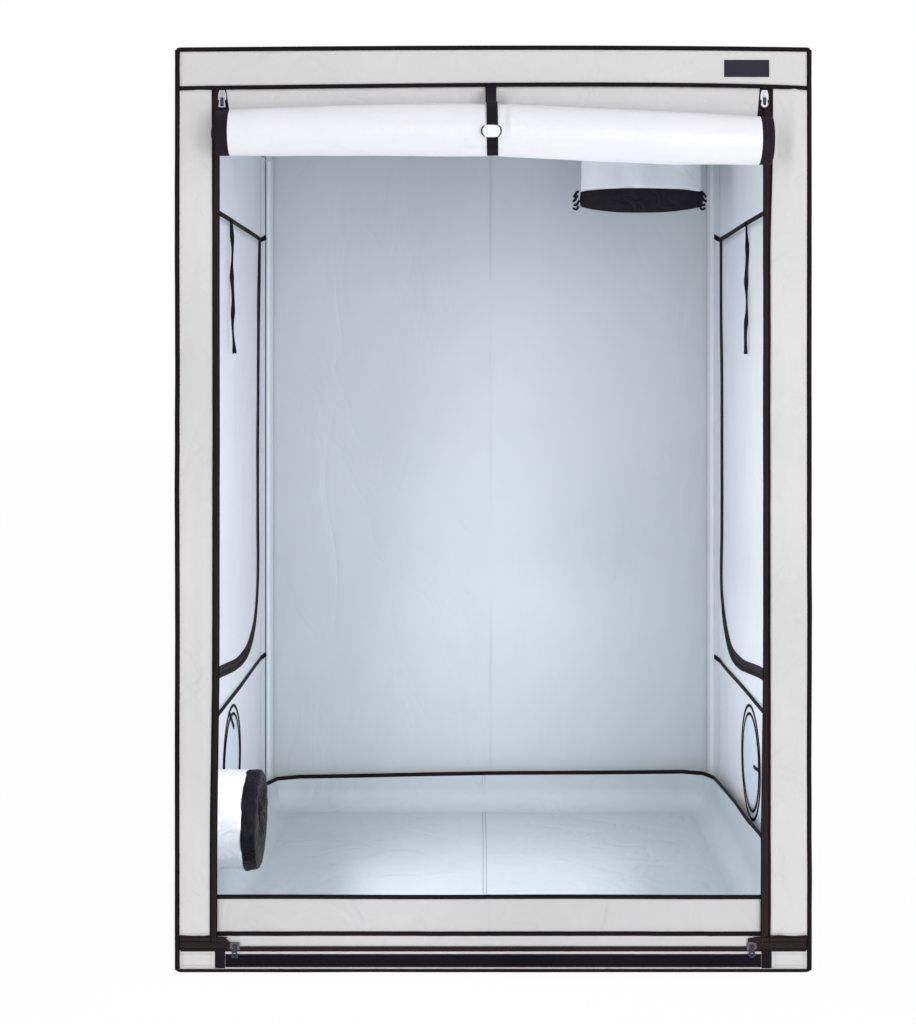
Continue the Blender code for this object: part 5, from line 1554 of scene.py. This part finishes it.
def make_tray():
    """A soft waterproof tray: one sheet that turns up into four low walls."""
    count, floor_z, bend, corner = 56, 0.0040, 0.064, 0.016
    reach = TRAY - bend
    straight = reach - corner

    def rounded(x, y):
        dx, dy = abs(x) - straight, abs(y) - straight
        if dx > 0 and dy > 0:
            share = max(dx, dy) / math.hypot(dx, dy)
            x = math.copysign(straight + dx * share, x)
            y = math.copysign(straight + dy * share, y)
        return x, y

    def floor_height(x, y):
        edge = min(1.0, (TRAY - max(abs(x), abs(y))) / 0.08)
        soft = 0.0011 * (1 + ripple(x * 3.2, y * 2.4, 14.0))
        soft += 0.0006 * (1 + ripple(x * 9.0, y * 8.0, 15.0))
        return floor_z + soft * edge

    flat = spread(-reach, reach, count)
    spots = [rounded(x, y) for y in flat for x in flat]
    points = [(x, y, floor_height(x, y)) for x, y in spots]
    wide = count + 1
    faces = grid_faces(wide, wide)
    loop = list(range(wide)) + [j * wide + count for j in range(1, wide)]
    loop += [count * wide + i for i in range(count - 1, -1, -1)]
    loop += [j * wide for j in range(count - 1, 0, -1)]
    outward, rims = [], []
    for index in loop:
        x, y, _ = points[index]
        beyond_x, beyond_y = max(0.0, abs(x) - straight), max(0.0, abs(y) - straight)
        away = math.hypot(beyond_x, beyond_y) or 1.0
        outward.append((math.copysign(beyond_x / away, x), math.copysign(beyond_y / away, y)))
        rims.append(tray_rim(x / reach * TRAY, y / reach * TRAY))
    rows, bent, previous = 16, 6, loop
    for row in range(1, rows + 1):
        line = []
        for index, (ox, oy), rim in zip(loop, outward, rims):
            x, y, _ = points[index]
            if row <= bent:
                turn = math.pi / 2 * row / bent
                out, z = bend * math.sin(turn), floor_z + bend * (1 - math.cos(turn))
            else:
                share = (row - bent) / (rows - bent)
                z = floor_z + bend + (rim - floor_z - bend) * share
                out = bend + share * (0.0020 + 0.0022 * ripple(x * 4.5, y * 4.5, z * 4.0 + 20))
            line.append(len(points))
            points.append((x + ox * out, y + oy * out, z))
            spots.append((x + ox * (out + z), y + oy * (out + z)))
        for k, index in enumerate(line):
            m = (k + 1) % len(line)
            faces.append((previous[k], previous[m], line[m], index))
        previous = line
    tray = mesh_piece("tray_cloth", points, faces, ["tray cloth", "tray cloth"], uv=spots)
    if tray.data.polygons[count * count // 2].normal.z < 0:
        tray.data.flip_normals()
    thicken(tray, ["tray cloth"])
    finish_piece(tray, ROOT, "inner_fabric")
    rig.replaces(tray, "floor_tray")
    facings = [(ox, oy, 0) for ox, oy in outward]
    ring = bound("tray_rim_binding", [([points[index] for index in previous], facings, True)],
                 0.0130, 0.0040)
    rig.sheet(tray, flat=(1.69, 1.69), held="laid", area=2.04 + 4 * 1.43 * 0.13,
             rests_on=["floor_cloth"], with_pieces=[ring])
    seams = []
    up_the_wall = (0.03, 0.06, 0.09, 0.108)
    for shift in (-0.0045, 0.0045):
        line = []
        for y in spread(-TRAY + 0.03, TRAY - 0.02, 60):
            x = -0.016 + shift - 0.006 * (y + 0.7) / 1.4 + 0.0012 * math.sin(y * 5)
            line.append((x, y, floor_height(x, y) + 0.0006))
        facing = [(0, 0, 1)] * len(line) + [FORWARD] * len(up_the_wall)
        line += [(line[-1][0], TRAY + 0.0005, z) for z in up_the_wall]
        seams.append((line, facing))
    stitched("tray_floor_stitches", seams, pitch=0.0060, thick=0.00065)


# Duct sleeves

# Rings of the wall sleeve's cuff: x, radius, crumple
CUFF_RINGS = ((-0.6235, 0.1246, 0.0006), (-0.6215, 0.1262, 0.0010), (-0.6150, 0.1258, 0.0026),
              (-0.6080, 0.1252, 0.0040), (-0.6010, 0.1250, 0.0046), (-0.5950, 0.1240, 0.0040),
              (-0.5905, 0.1222, 0.0030))
# Rings of the roof sleeve's cuff: height, how much it stands out, and its middle's and tips' lift
ROOF_CUFF_RINGS = ((1.9760, 0.0002, 0.0086, 0.0), (1.9746, 0.0022, 0.0086, 0.0),
                   (1.9670, 0.0030, 0.006, 0.001), (1.9580, 0.0036, 0.001, 0.001),
                   (1.9490, 0.0034, -0.004, 0.001), (1.9400, 0.0028, -0.009, 0.001),
                   (1.9330, 0.0016, -0.0135, 0.0), (1.9307, -0.0012, -0.0156, 0.0),
                   (1.9360, -0.0030, -0.0135, 0.0), (1.9560, -0.0032, -0.003, 0.0))


def tube_sheet(rings):
    """The points and faces that join rings of points, and each point's place on the cloth."""
    n = len(rings[0])
    points = [point for ring in rings for point in ring]
    spots, run = [], 0.0
    for r, ring in enumerate(rings):
        if r:
            run += sum(math.dist(a, b) for a, b in zip(ring, rings[r - 1])) / n
        girth = sum(math.dist(ring[k], ring[k - 1]) for k in range(n))
        spots += [(girth * k / n, run) for k in range(n)]
    return points, grid_faces(len(rings), n, closed=True), spots


def sleeve_piece(name, rings, finish, middle, flat, rests_on, slot, stands_for=(), area=None,
                 held="hung"):
    """A soft tube through rings of points, with its faces away from its middle."""
    points, faces, spots = tube_sheet(rings)
    thing = mesh_piece(name, points, faces, [finish], uv=spots)
    sides = thing.data.polygons
    if sum(side.normal.dot(side.center - Vector(middle)) * side.area for side in sides) < 0:
        thing.data.flip_normals()
    dress_sheet(thing, [finish], ROOT, slot, stands_for, flat, held, rests_on, area)


def facet(angle, sides, seed, depth):
    """Flat facets round a soft tube, as its folds leave them."""
    turn = angle / math.tau * sides + 0.37 * ripple(seed, angle, 0)
    near = abs(turn - round(turn)) * 2
    return -depth * (1 - near * near)


def make_wall_sleeve():
    """The duct sleeve through the left wall: pale faceted cloth, and a gathered black cuff."""
    cy, cz = WALL_PORT
    angles = [math.tau * k / 120 for k in range(120)]

    def ring(x, radius, facets, crumple, seed):
        line = []
        for angle in angles:
            c, s = math.cos(angle), math.sin(angle)
            r = radius + facet(angle + seed * 0.2, 7, 2.0, facets)
            r += crumple * ripple(c * 3.4, s * 3.4, seed)
            r += crumple * 0.7 * ripple(c * 9, s * 9, seed * 1.3)
            line.append((x, cy + r * c, cz + r * s))
        return line

    body = []
    for share in spread(0, 1, 14):
        x = -0.7478 + (0.7478 - 0.6225) * share
        body.append(ring(x, PORT_RADIUS - 0.0005 - 0.0015 * math.sin(math.pi * share),
                         0.0042 * share, 0.0008, 1.0 + share * 0.6))
    # the wall sleeve's cloth is made whiter, as painted light
    sleeve_piece("wall_sleeve_cloth", body, "sleeve", (-0.68, cy, cz), (DUCT_GIRTH, 0.125),
                 ["left_base_cloth"], "sleeve_fabric", ["wall_sleeve"])
    collar = [(-0.7450, y, z) for y, z in circle(WALL_PORT, PORT_RADIUS + 0.001, 80)]
    bound("wall_sleeve_collar", [(collar, (1, 0, 0), True)], 0.0090, 0.0030)

    # the cuff runs on from the sleeve, is drawn in at its end and folds back inside
    cuff = [ring(x, radius, 0.0040, crumple, 4.0 + x * 30) for x, radius, crumple in CUFF_RINGS]
    for share in spread(0, 1, 8)[1:]:
        line = []
        for angle in angles:
            c, s = math.cos(angle), math.sin(angle)
            hole = 0.046 + 0.020 * math.cos(angle - 1.2) + 0.012 * math.cos(3 * angle - 0.9)
            hole += 0.004 * math.sin(17 * angle)
            pleat = math.sin(17 * angle + 1.4 * ripple(c * 2, s * 2, 3.0))
            r = 0.1215 + (hole - 0.1215) * share
            x = -0.5895 + 0.0040 * math.sin(math.pi * share) + 0.0022 * pleat * share
            x -= 0.0060 * share * share
            line.append((x, cy + 0.006 * share + r * c, cz + 0.022 * share + r * s))
        cuff.append(line)
    for x, r in ((-0.6000, 0.050), (-0.6120, 0.070), (-0.6300, 0.085), (-0.6520, 0.092)):
        cuff.append([(x, y, z) for y, z in circle((cy, cz + 0.012), r, len(angles))])
    sleeve_piece("wall_sleeve_cuff", cuff, "cuff", (-0.66, cy, cz), (DUCT_GIRTH, 0.125),
                 ["wall_sleeve_cloth"], "black_tape", area=0.098, held="gathered")


def make_roof_sleeve():
    """The duct sleeve that hangs from the roof: its foot falls flat and ends in a black cuff."""
    cx, cy = ROOF_PORT
    angles = [math.tau * k / 132 for k in range(132)]

    def ring(z, flat_share, grow, seed, crumple, lift, tips=0.0):
        wide = PORT_RADIUS + (0.1836 - PORT_RADIUS) * flat_share + grow
        deep = PORT_RADIUS + (0.0240 - PORT_RADIUS) * flat_share + grow * 0.4
        line = []
        for angle in angles:
            c, s = math.cos(angle), math.sin(angle)
            x = cx + 0.0052 * flat_share
            x += wide * math.copysign(abs(c) ** (1 - 0.15 * flat_share), c)
            y = cy + deep * math.copysign(abs(s) ** (1 - 0.5 * flat_share * (1 - abs(c))), s)
            y += crumple * 2.6 * ripple(x * 16, s * 1.2, z * 9 + seed) * flat_share
            x += crumple * ripple(c * 2, s * 2, z * 14 + seed)
            line.append((x, y, z + lift * (1 - c * c) - tips * abs(c) ** 6))
        return line

    body = [ring(2.1818 - (2.1818 - 1.9765) * share, min(1.0, share * 1.75) ** 0.75, 0.0, 3.0,
                 0.0040, 0.0086 * share) for share in spread(0, 1, 17)]
    sleeve_piece("roof_sleeve_cloth", body, "ceiling sleeve", (cx, cy, 2.08), (DUCT_GIRTH, 0.20),
                 ["roof_cloth"], "sleeve_fabric", ["roof_sleeve"])
    collar = [(x, y, 2.1796) for x, y in circle(ROOF_PORT, PORT_RADIUS + 0.001, 80)]
    bound("roof_sleeve_collar", [(collar, (0, 0, -1), True)], 0.0090, 0.0030)
    cuff = []
    for z, grow, lift, tips in ROOF_CUFF_RINGS:
        line = []
        for x, y, height in ring(z, 1.0, grow, 6.0, 0.0030, lift, tips):
            end = max(0.0, abs(x - cx) / 0.19 - 0.93) / 0.07
            rag = end * 0.010 * ripple(z * 60, x * 3, 5.0)
            line.append((x + math.copysign(max(-0.004, rag + 0.003 * end), x - cx), y, height))
        cuff.append(line)
    sleeve_piece("roof_sleeve_cuff", cuff, "cuff", (cx, cy, 1.95), (DUCT_GIRTH, 0.09),
                 ["roof_sleeve_cloth"], "black_tape", area=0.066)
    gathers = []
    for way in (-1, 1):
        for step in range(4):
            line = []
            for t in spread(0, 1, 8):
                x = cx + way * (0.186 + 0.018 * t + 0.002 * math.sin(step * 2.1))
                z = 1.975 - 0.014 * step - 0.012 * t + 0.004 * math.sin(t * 5 + step)
                line.append((x, cy - 0.010 + 0.006 * step + 0.004 * math.sin(t * 4), z))
            gathers.append((line, FORWARD))
    bound("roof_sleeve_gathers", gathers, 0.0080, 0.0030, "cuff")


# Ties, vents, the header's patch and the rear wall's seams

def make_ties():
    """A limp webbing tie hangs from the seam of each side wall."""
    length, steps = 0.380, 40
    # where each tie hangs, and how it twists, sways and drifts on its way down
    for side, y, twist, sway, waves, drift in (("left", 0.030, 0.5, -0.060, 16.0, -0.030),
                                               ("right", 0.120, 0.0, 0.050, 15.0, -0.020)):
        sign = SIDE_SIGN[side]
        x, z = sign * 0.7388, 1.8540
        route, facings = [], []
        for share in spread(0, 1, steps):
            route.append((x, y, z))
            facings.append(Vector((1.5 * math.sin(share * 11.0 + 1.2 + twist), -1, 0)).normalized())
            lean = sign * (sway * math.sin(share * waves) + drift * share)
            z -= length / steps * math.cos(lean)
            x += length / steps * math.sin(lean)
            y += length / steps * 0.020 * math.sin(share * 9.0)
        tie = bound(side + "_tie_webbing", [(route, facings)], 0.0125, 0.0022, "webbing")
        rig.replaces(tie, side + "_tie")
        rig.cord(tie, exit=route[0], length=length, diameter=0.0125, far_end="bare",
                stiffness="limp", lay="hanging", path=route)


def ring_path(side, radius, inside=-1, lift=0.0014):
    plane = SIDE_SIGN[side] * (CLOTH_PLANE + inside * lift)
    return [(plane, y, z) for y, z in circle(VENT, radius, 96)]


def make_vents():
    """Each vent: two bound rings, a net window, an outside cover and its tab."""
    for side, sign in SIDE_SIGN.items():
        paths = []
        for inside in (-1, 1):
            for radius in (0.1600, 0.1370):
                paths.append((ring_path(side, radius, inside), (sign * inside, 0, 0), True))
        bound(side + "_vent_rings", paths, 0.0084, 0.0040)

        def sag(point):
            return -0.0010 + 0.0005 * (1 - math.dist(point, VENT) / VENT_NET)

        def swell(point, seed=95.0 + sign):
            soft = 1 + ripple(point[0] * 9, point[1] * 9, seed)
            return 0.0018 + 0.0012 * (1 - math.dist(point, VENT) / VENT_COVER) * soft

        net = [circle(VENT, r, 48, last=1) for r in (0.0, 0.03, 0.06, 0.09, 0.115, VENT_NET)]
        cloth_panel(side + "_vent_net", [net], SIDES[side], (sign, 0, 0), sag, finishes=("net",),
                    flat=(0.27, 0.27), area=0.0568, slot="inner_fabric",
                    rests_on=[side + "_vent_rings"])
        cover = [circle(VENT, r, 64, last=1) for r in (0.0, 0.04, 0.08, 0.115, 0.142, VENT_COVER)]
        cloth_panel(side + "_vent_flap", [cover], SIDES[side], (sign, 0, 0), swell,
                    flat=(0.30, 0.30), area=0.0707, held="hung", body=side + "_vent_cover",
                    slot="cover_fabric", rests_on=[side + "_vent_rings"],
                    stands_for=[side + "_vent_cover"])
        edge = ring_path(side, 0.1480, 1, 0.0022)
        bound(side + "_vent_flap_edge", [(edge, (sign, 0, 0), True)], 0.0070, 0.0030,
              body=side + "_vent_cover")
    for side, width, line in (
            ("left", 0.0130, ((0.030, 0.4560), (0.055, 0.4400), (0.085, 0.4180), (0.120, 0.3930))),
            ("right", 0.0110, ((-0.066, 0.3090), (-0.030, 0.3070), (0.005, 0.3030),
                               (0.032, 0.3010)))):
        sign = SIDE_SIGN[side]
        tab = [(sign * (CLOTH_PLANE - 0.0030), y, z) for y, z in line]
        bound(side + "_vent_tab", [(tab, (-sign, 0, 0))], width, 0.0022, "webbing")


def make_patch():
    """A blank woven patch, sewn on at the right of the header."""
    low, high, inset = (0.5448, 2.1145), (0.6512, 2.1545), 0.0022
    columns, rows = spread(low[0], high[0], 24), spread(low[1], high[1], 10)

    def puff(point):
        edge = edge_distance(point, low, high)
        return 0.0006 * min(1.0, edge / 0.004) + 0.0002 * ripple(point[0] * 60, point[1] * 60, 1)

    cloth_panel("header_patch", [rectangle(columns, rows)], over_front(-CLOTH_PLANE - 0.0012),
                FORWARD, puff, finishes=("patch",), flat=(0.106, 0.040), slot="black_tape",
                rests_on=["header_cloth"])
    left, foot, right, top = (low[0] + inset, low[1] + inset, high[0] - inset, high[1] - inset)
    box = [(left, foot), (right, foot), (right, top), (left, top)]
    lines = []
    for (x0, z0), (x1, z1) in zip(box, box[1:] + box[:1]):
        lines.append(([(x0 + (x1 - x0) * t, LAYER["sewn on"], z0 + (z1 - z0) * t)
                       for t in spread(0, 1, 10)], FORWARD))
    stitched("header_patch_stitches", lines, pitch=0.0032)


def make_rear_seams():
    """The rear wall's middle seam, and the narrow folds where it meets the side walls."""
    inner = CLOTH_PLANE - 0.0016
    middle = [(0.0008 * math.sin(z * 3), inner, z) for z in spread(0.02, TALL - 0.02, 80)]
    # the rear seam's fold and the corner folds take the satin lining made darker, as painted shade
    bound("rear_seam_fold", [(middle, FORWARD)], 0.0030, 0.0016, "rear lining",
          slot="inner_fabric")
    lines = [([(x + shift, y - 0.0002, z) for x, y, z in middle], FORWARD)
             for shift in (-0.0035, 0.0035)]
    stitched("rear_seam_stitches", lines, "pale thread", pitch=0.005, slot="inner_fabric")
    folds, corners = [], []
    heights = spread(0.06, TALL - 0.06, 60)
    for sign in (-1, 1):
        facing, aside = (-sign * DIAGONAL, -DIAGONAL, 0), fold_shade_line_shift(sign)
        (x, y), seam = FOLD_CENTRE, FOLD_FACE / 2
        folds.append(([(sign * x, y, z) for z in heights], facing))
        corners.append(([(sign * (seam + aside), seam - aside, z) for z in heights], facing))
    bound("rear_corner_folds", folds, 0.0525, 0.0014, "rear lining", slot="inner_fabric")
    # a thin slate strip on each fold: painted shade where the rear wall meets the side wall
    bound("rear_corner_seams", corners, 0.0052, 0.0010, "seam shade", slot="inner_fabric")


def make_pull_pads():
    """The dark grip pad on the face of each front pull: oblong on the left, oval on the right."""
    count = 28
    for side, half_x, half_z, middle, power in (("left", 0.0042, 0.0085, 2.0570, 5.0),
                                                ("right", 0.0043, 0.0080, 2.0590, 2.4)):
        centre = SIDE_SIGN[side] * 0.63965
        points = []
        for y, shrink in ((-0.7530, 1.0), (-0.7543, 1.0), (-0.7548, 0.86)):
            for c, s in circle((0, 0), 1, count):
                reach = (abs(c) ** power + abs(s) ** power) ** (-1 / power) * shrink
                points.append((centre + half_x * reach * c, y, middle + half_z * reach * s))
        faces = grid_faces(3, count, closed=True)
        faces += [tuple(range(count - 1, -1, -1)), tuple(range(2 * count, 3 * count))]
        pad = mesh_piece(side + "_pull_pad", points, faces, ["dark plastic"],
                         uv=[(x, z) for x, _, z in points])
        finish_piece(pad, "front_pull_" + side)


# Frame tubes, sockets and metal parts that keep the model's own shapes

def dress_model_nodes():
    kinds = (("post_", "enamel"), ("bar_", "enamel"), ("hanging_bar_", "enamel"),
             ("corner_", "socket"), ("front_slider", "nickel"), ("front_pull", "nickel"),
             ("sill_slider", "dark nickel"), ("sill_pull", "dark plastic"),
             ("left_side_slider", "nickel"),
             ("right_side_slider", "nickel"), ("strap_toggle", "white plastic"))
    for name, thing in frame["nodes"].items():
        for start, finish in kinds:
            if name.startswith(start):
                for slot in thing.material_slots:
                    slot.material = FINISH[finish]


# Floor, light and camera

def seen_directly(tree):
    """1 for what the camera, gloss and glass see, and 0 for what only lights other things."""
    path = node(tree, "ShaderNodeLightPath").outputs
    return maths(tree, "MAXIMUM", path["Is Camera Ray"],
                 maths(tree, "MAXIMUM", path["Is Glossy Ray"], path["Is Transmission Ray"]))


def shown_white(name, pale, through):
    """A pale surface that the camera, glass and metal see as white, and that keeps shadows."""
    material = bpy.data.materials.new(name)
    material.use_nodes = True
    tree = material.node_tree
    shader = tree.nodes["Principled BSDF"]
    shader.inputs["Base Color"].default_value = (pale, pale, pale, 1)
    shader.inputs["Roughness"].default_value = 0.9
    shader.inputs["Specular IOR Level"].default_value = 0.1
    glow = node(tree, "ShaderNodeEmission", [("Color", (1, 1, 1, 1)), ("Strength", 1.0)])
    share = maths(tree, "MULTIPLY", seen_directly(tree), through)
    mixed = node(tree, "ShaderNodeMixShader", [
        (0, share), (1, shader.outputs[0]), (2, glow.outputs[0])])
    tree.links.new(mixed.outputs[0], tree.nodes["Material Output"].inputs["Surface"])
    return material


def make_floor_stage():
    """A wide pale floor just under the cabin."""
    mesh = bpy.data.meshes.new("studio floor")
    mesh.from_pydata([(-30, -30, -0.001), (30, -30, -0.001), (30, 30, -0.001), (-30, 30, -0.001)],
                     [], [(0, 1, 2, 3)])
    mesh.materials.append(shown_white("studio floor", 0.97, 0.96))
    floor = bpy.data.objects.new("studio_floor", mesh)
    bpy.context.scene.collection.objects.link(floor)
    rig.stage(floor)


def light_world(strength):
    """Even light from all round, with a white background for what the camera sees."""
    world = bpy.data.worlds.new("studio")
    bpy.context.scene.world = world
    world.use_nodes = True
    tree = world.node_tree
    background = tree.nodes["Background"]
    background.inputs["Color"].default_value = (1, 1, 1, 1)
    level = node(tree, "ShaderNodeMapRange", [
        ("Value", seen_directly(tree)), ("To Min", strength), ("To Max", 1.0)])
    tree.links.new(level.outputs[0], background.inputs["Strength"])


def softbox(name, place, aim, size, power):
    data = bpy.data.lights.new(name, "AREA")
    data.shape = "RECTANGLE"
    data.size, data.size_y = size
    data.energy = power
    lamp = bpy.data.objects.new(name, data)
    lamp.location = place
    lamp.rotation_euler = (Vector(aim) - Vector(place)).to_track_quat("-Z", "Y").to_euler()
    bpy.context.scene.collection.objects.link(lamp)
    return lamp


def hide_lamp(lamp):
    """Keep a lamp out of the camera's and every reflection's sight."""
    lamp.visible_camera = False
    lamp.visible_glossy = False


def fill_lamp(name, place, size, power):
    """A large soft lamp inside the cabin."""
    data = bpy.data.lights.new(name, "POINT")
    data.shadow_soft_size = size
    data.energy = power
    lamp = bpy.data.objects.new(name, data)
    lamp.location = place
    hide_lamp(lamp)
    bpy.context.scene.collection.objects.link(lamp)


def light_studio():
    light_world(0.75)
    softbox("front softbox", (1.6, -5.9, 1.1), (0, -0.4, 1.0), (4.0, 3.0), 112)
    fill_lamp("cabin fill", (0.0, -0.50, 1.30), 0.30, 2.4)
    for side, sign, power in (("left", -1, 6.2), ("right", 1, 9.8)):
        place, aim = (-0.25 * sign, -0.30, 1.00), (0.75 * sign, -0.2, 0.83)
        hide_lamp(softbox(side + " wall fill", place, aim, (0.8, 1.7), power))
    hide_lamp(softbox("floor fill", (0.20, 0.15, 0.8), (0.22, 0.20, 0), (0.7, 0.6), 1.0))
    hide_lamp(softbox("sleeve fill", (-0.3, -0.70, 0.6), (-0.66, -0.50, 0.28), (0.25, 0.25), 1.2))


for make in (camera_in_front, make_roof, make_floor, make_rear_wall, make_side_walls,
             make_wall_bases, make_front_header, make_jambs, make_front_zips, make_cabin_piping,
             make_front_bindings, make_side_seams, make_side_zips, make_rolled_door, make_strap,
             make_toggle_loops, make_roll_lug, make_sill, make_sill_zip, make_lip, make_tray,
             make_wall_sleeve, make_roof_sleeve, make_ties, make_vents, make_patch,
             make_rear_seams, make_pull_pads, dress_model_nodes, make_floor_stage, light_studio):
    make()

bpy.context.scene.view_settings.view_transform = "Standard"
with open("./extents.json", "w") as note:
    json.dump({"cad": [list(map(float, corner)) for corner in CAD_BOX],
               "visual": [list(map(float, corner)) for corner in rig.bounds()]}, note)
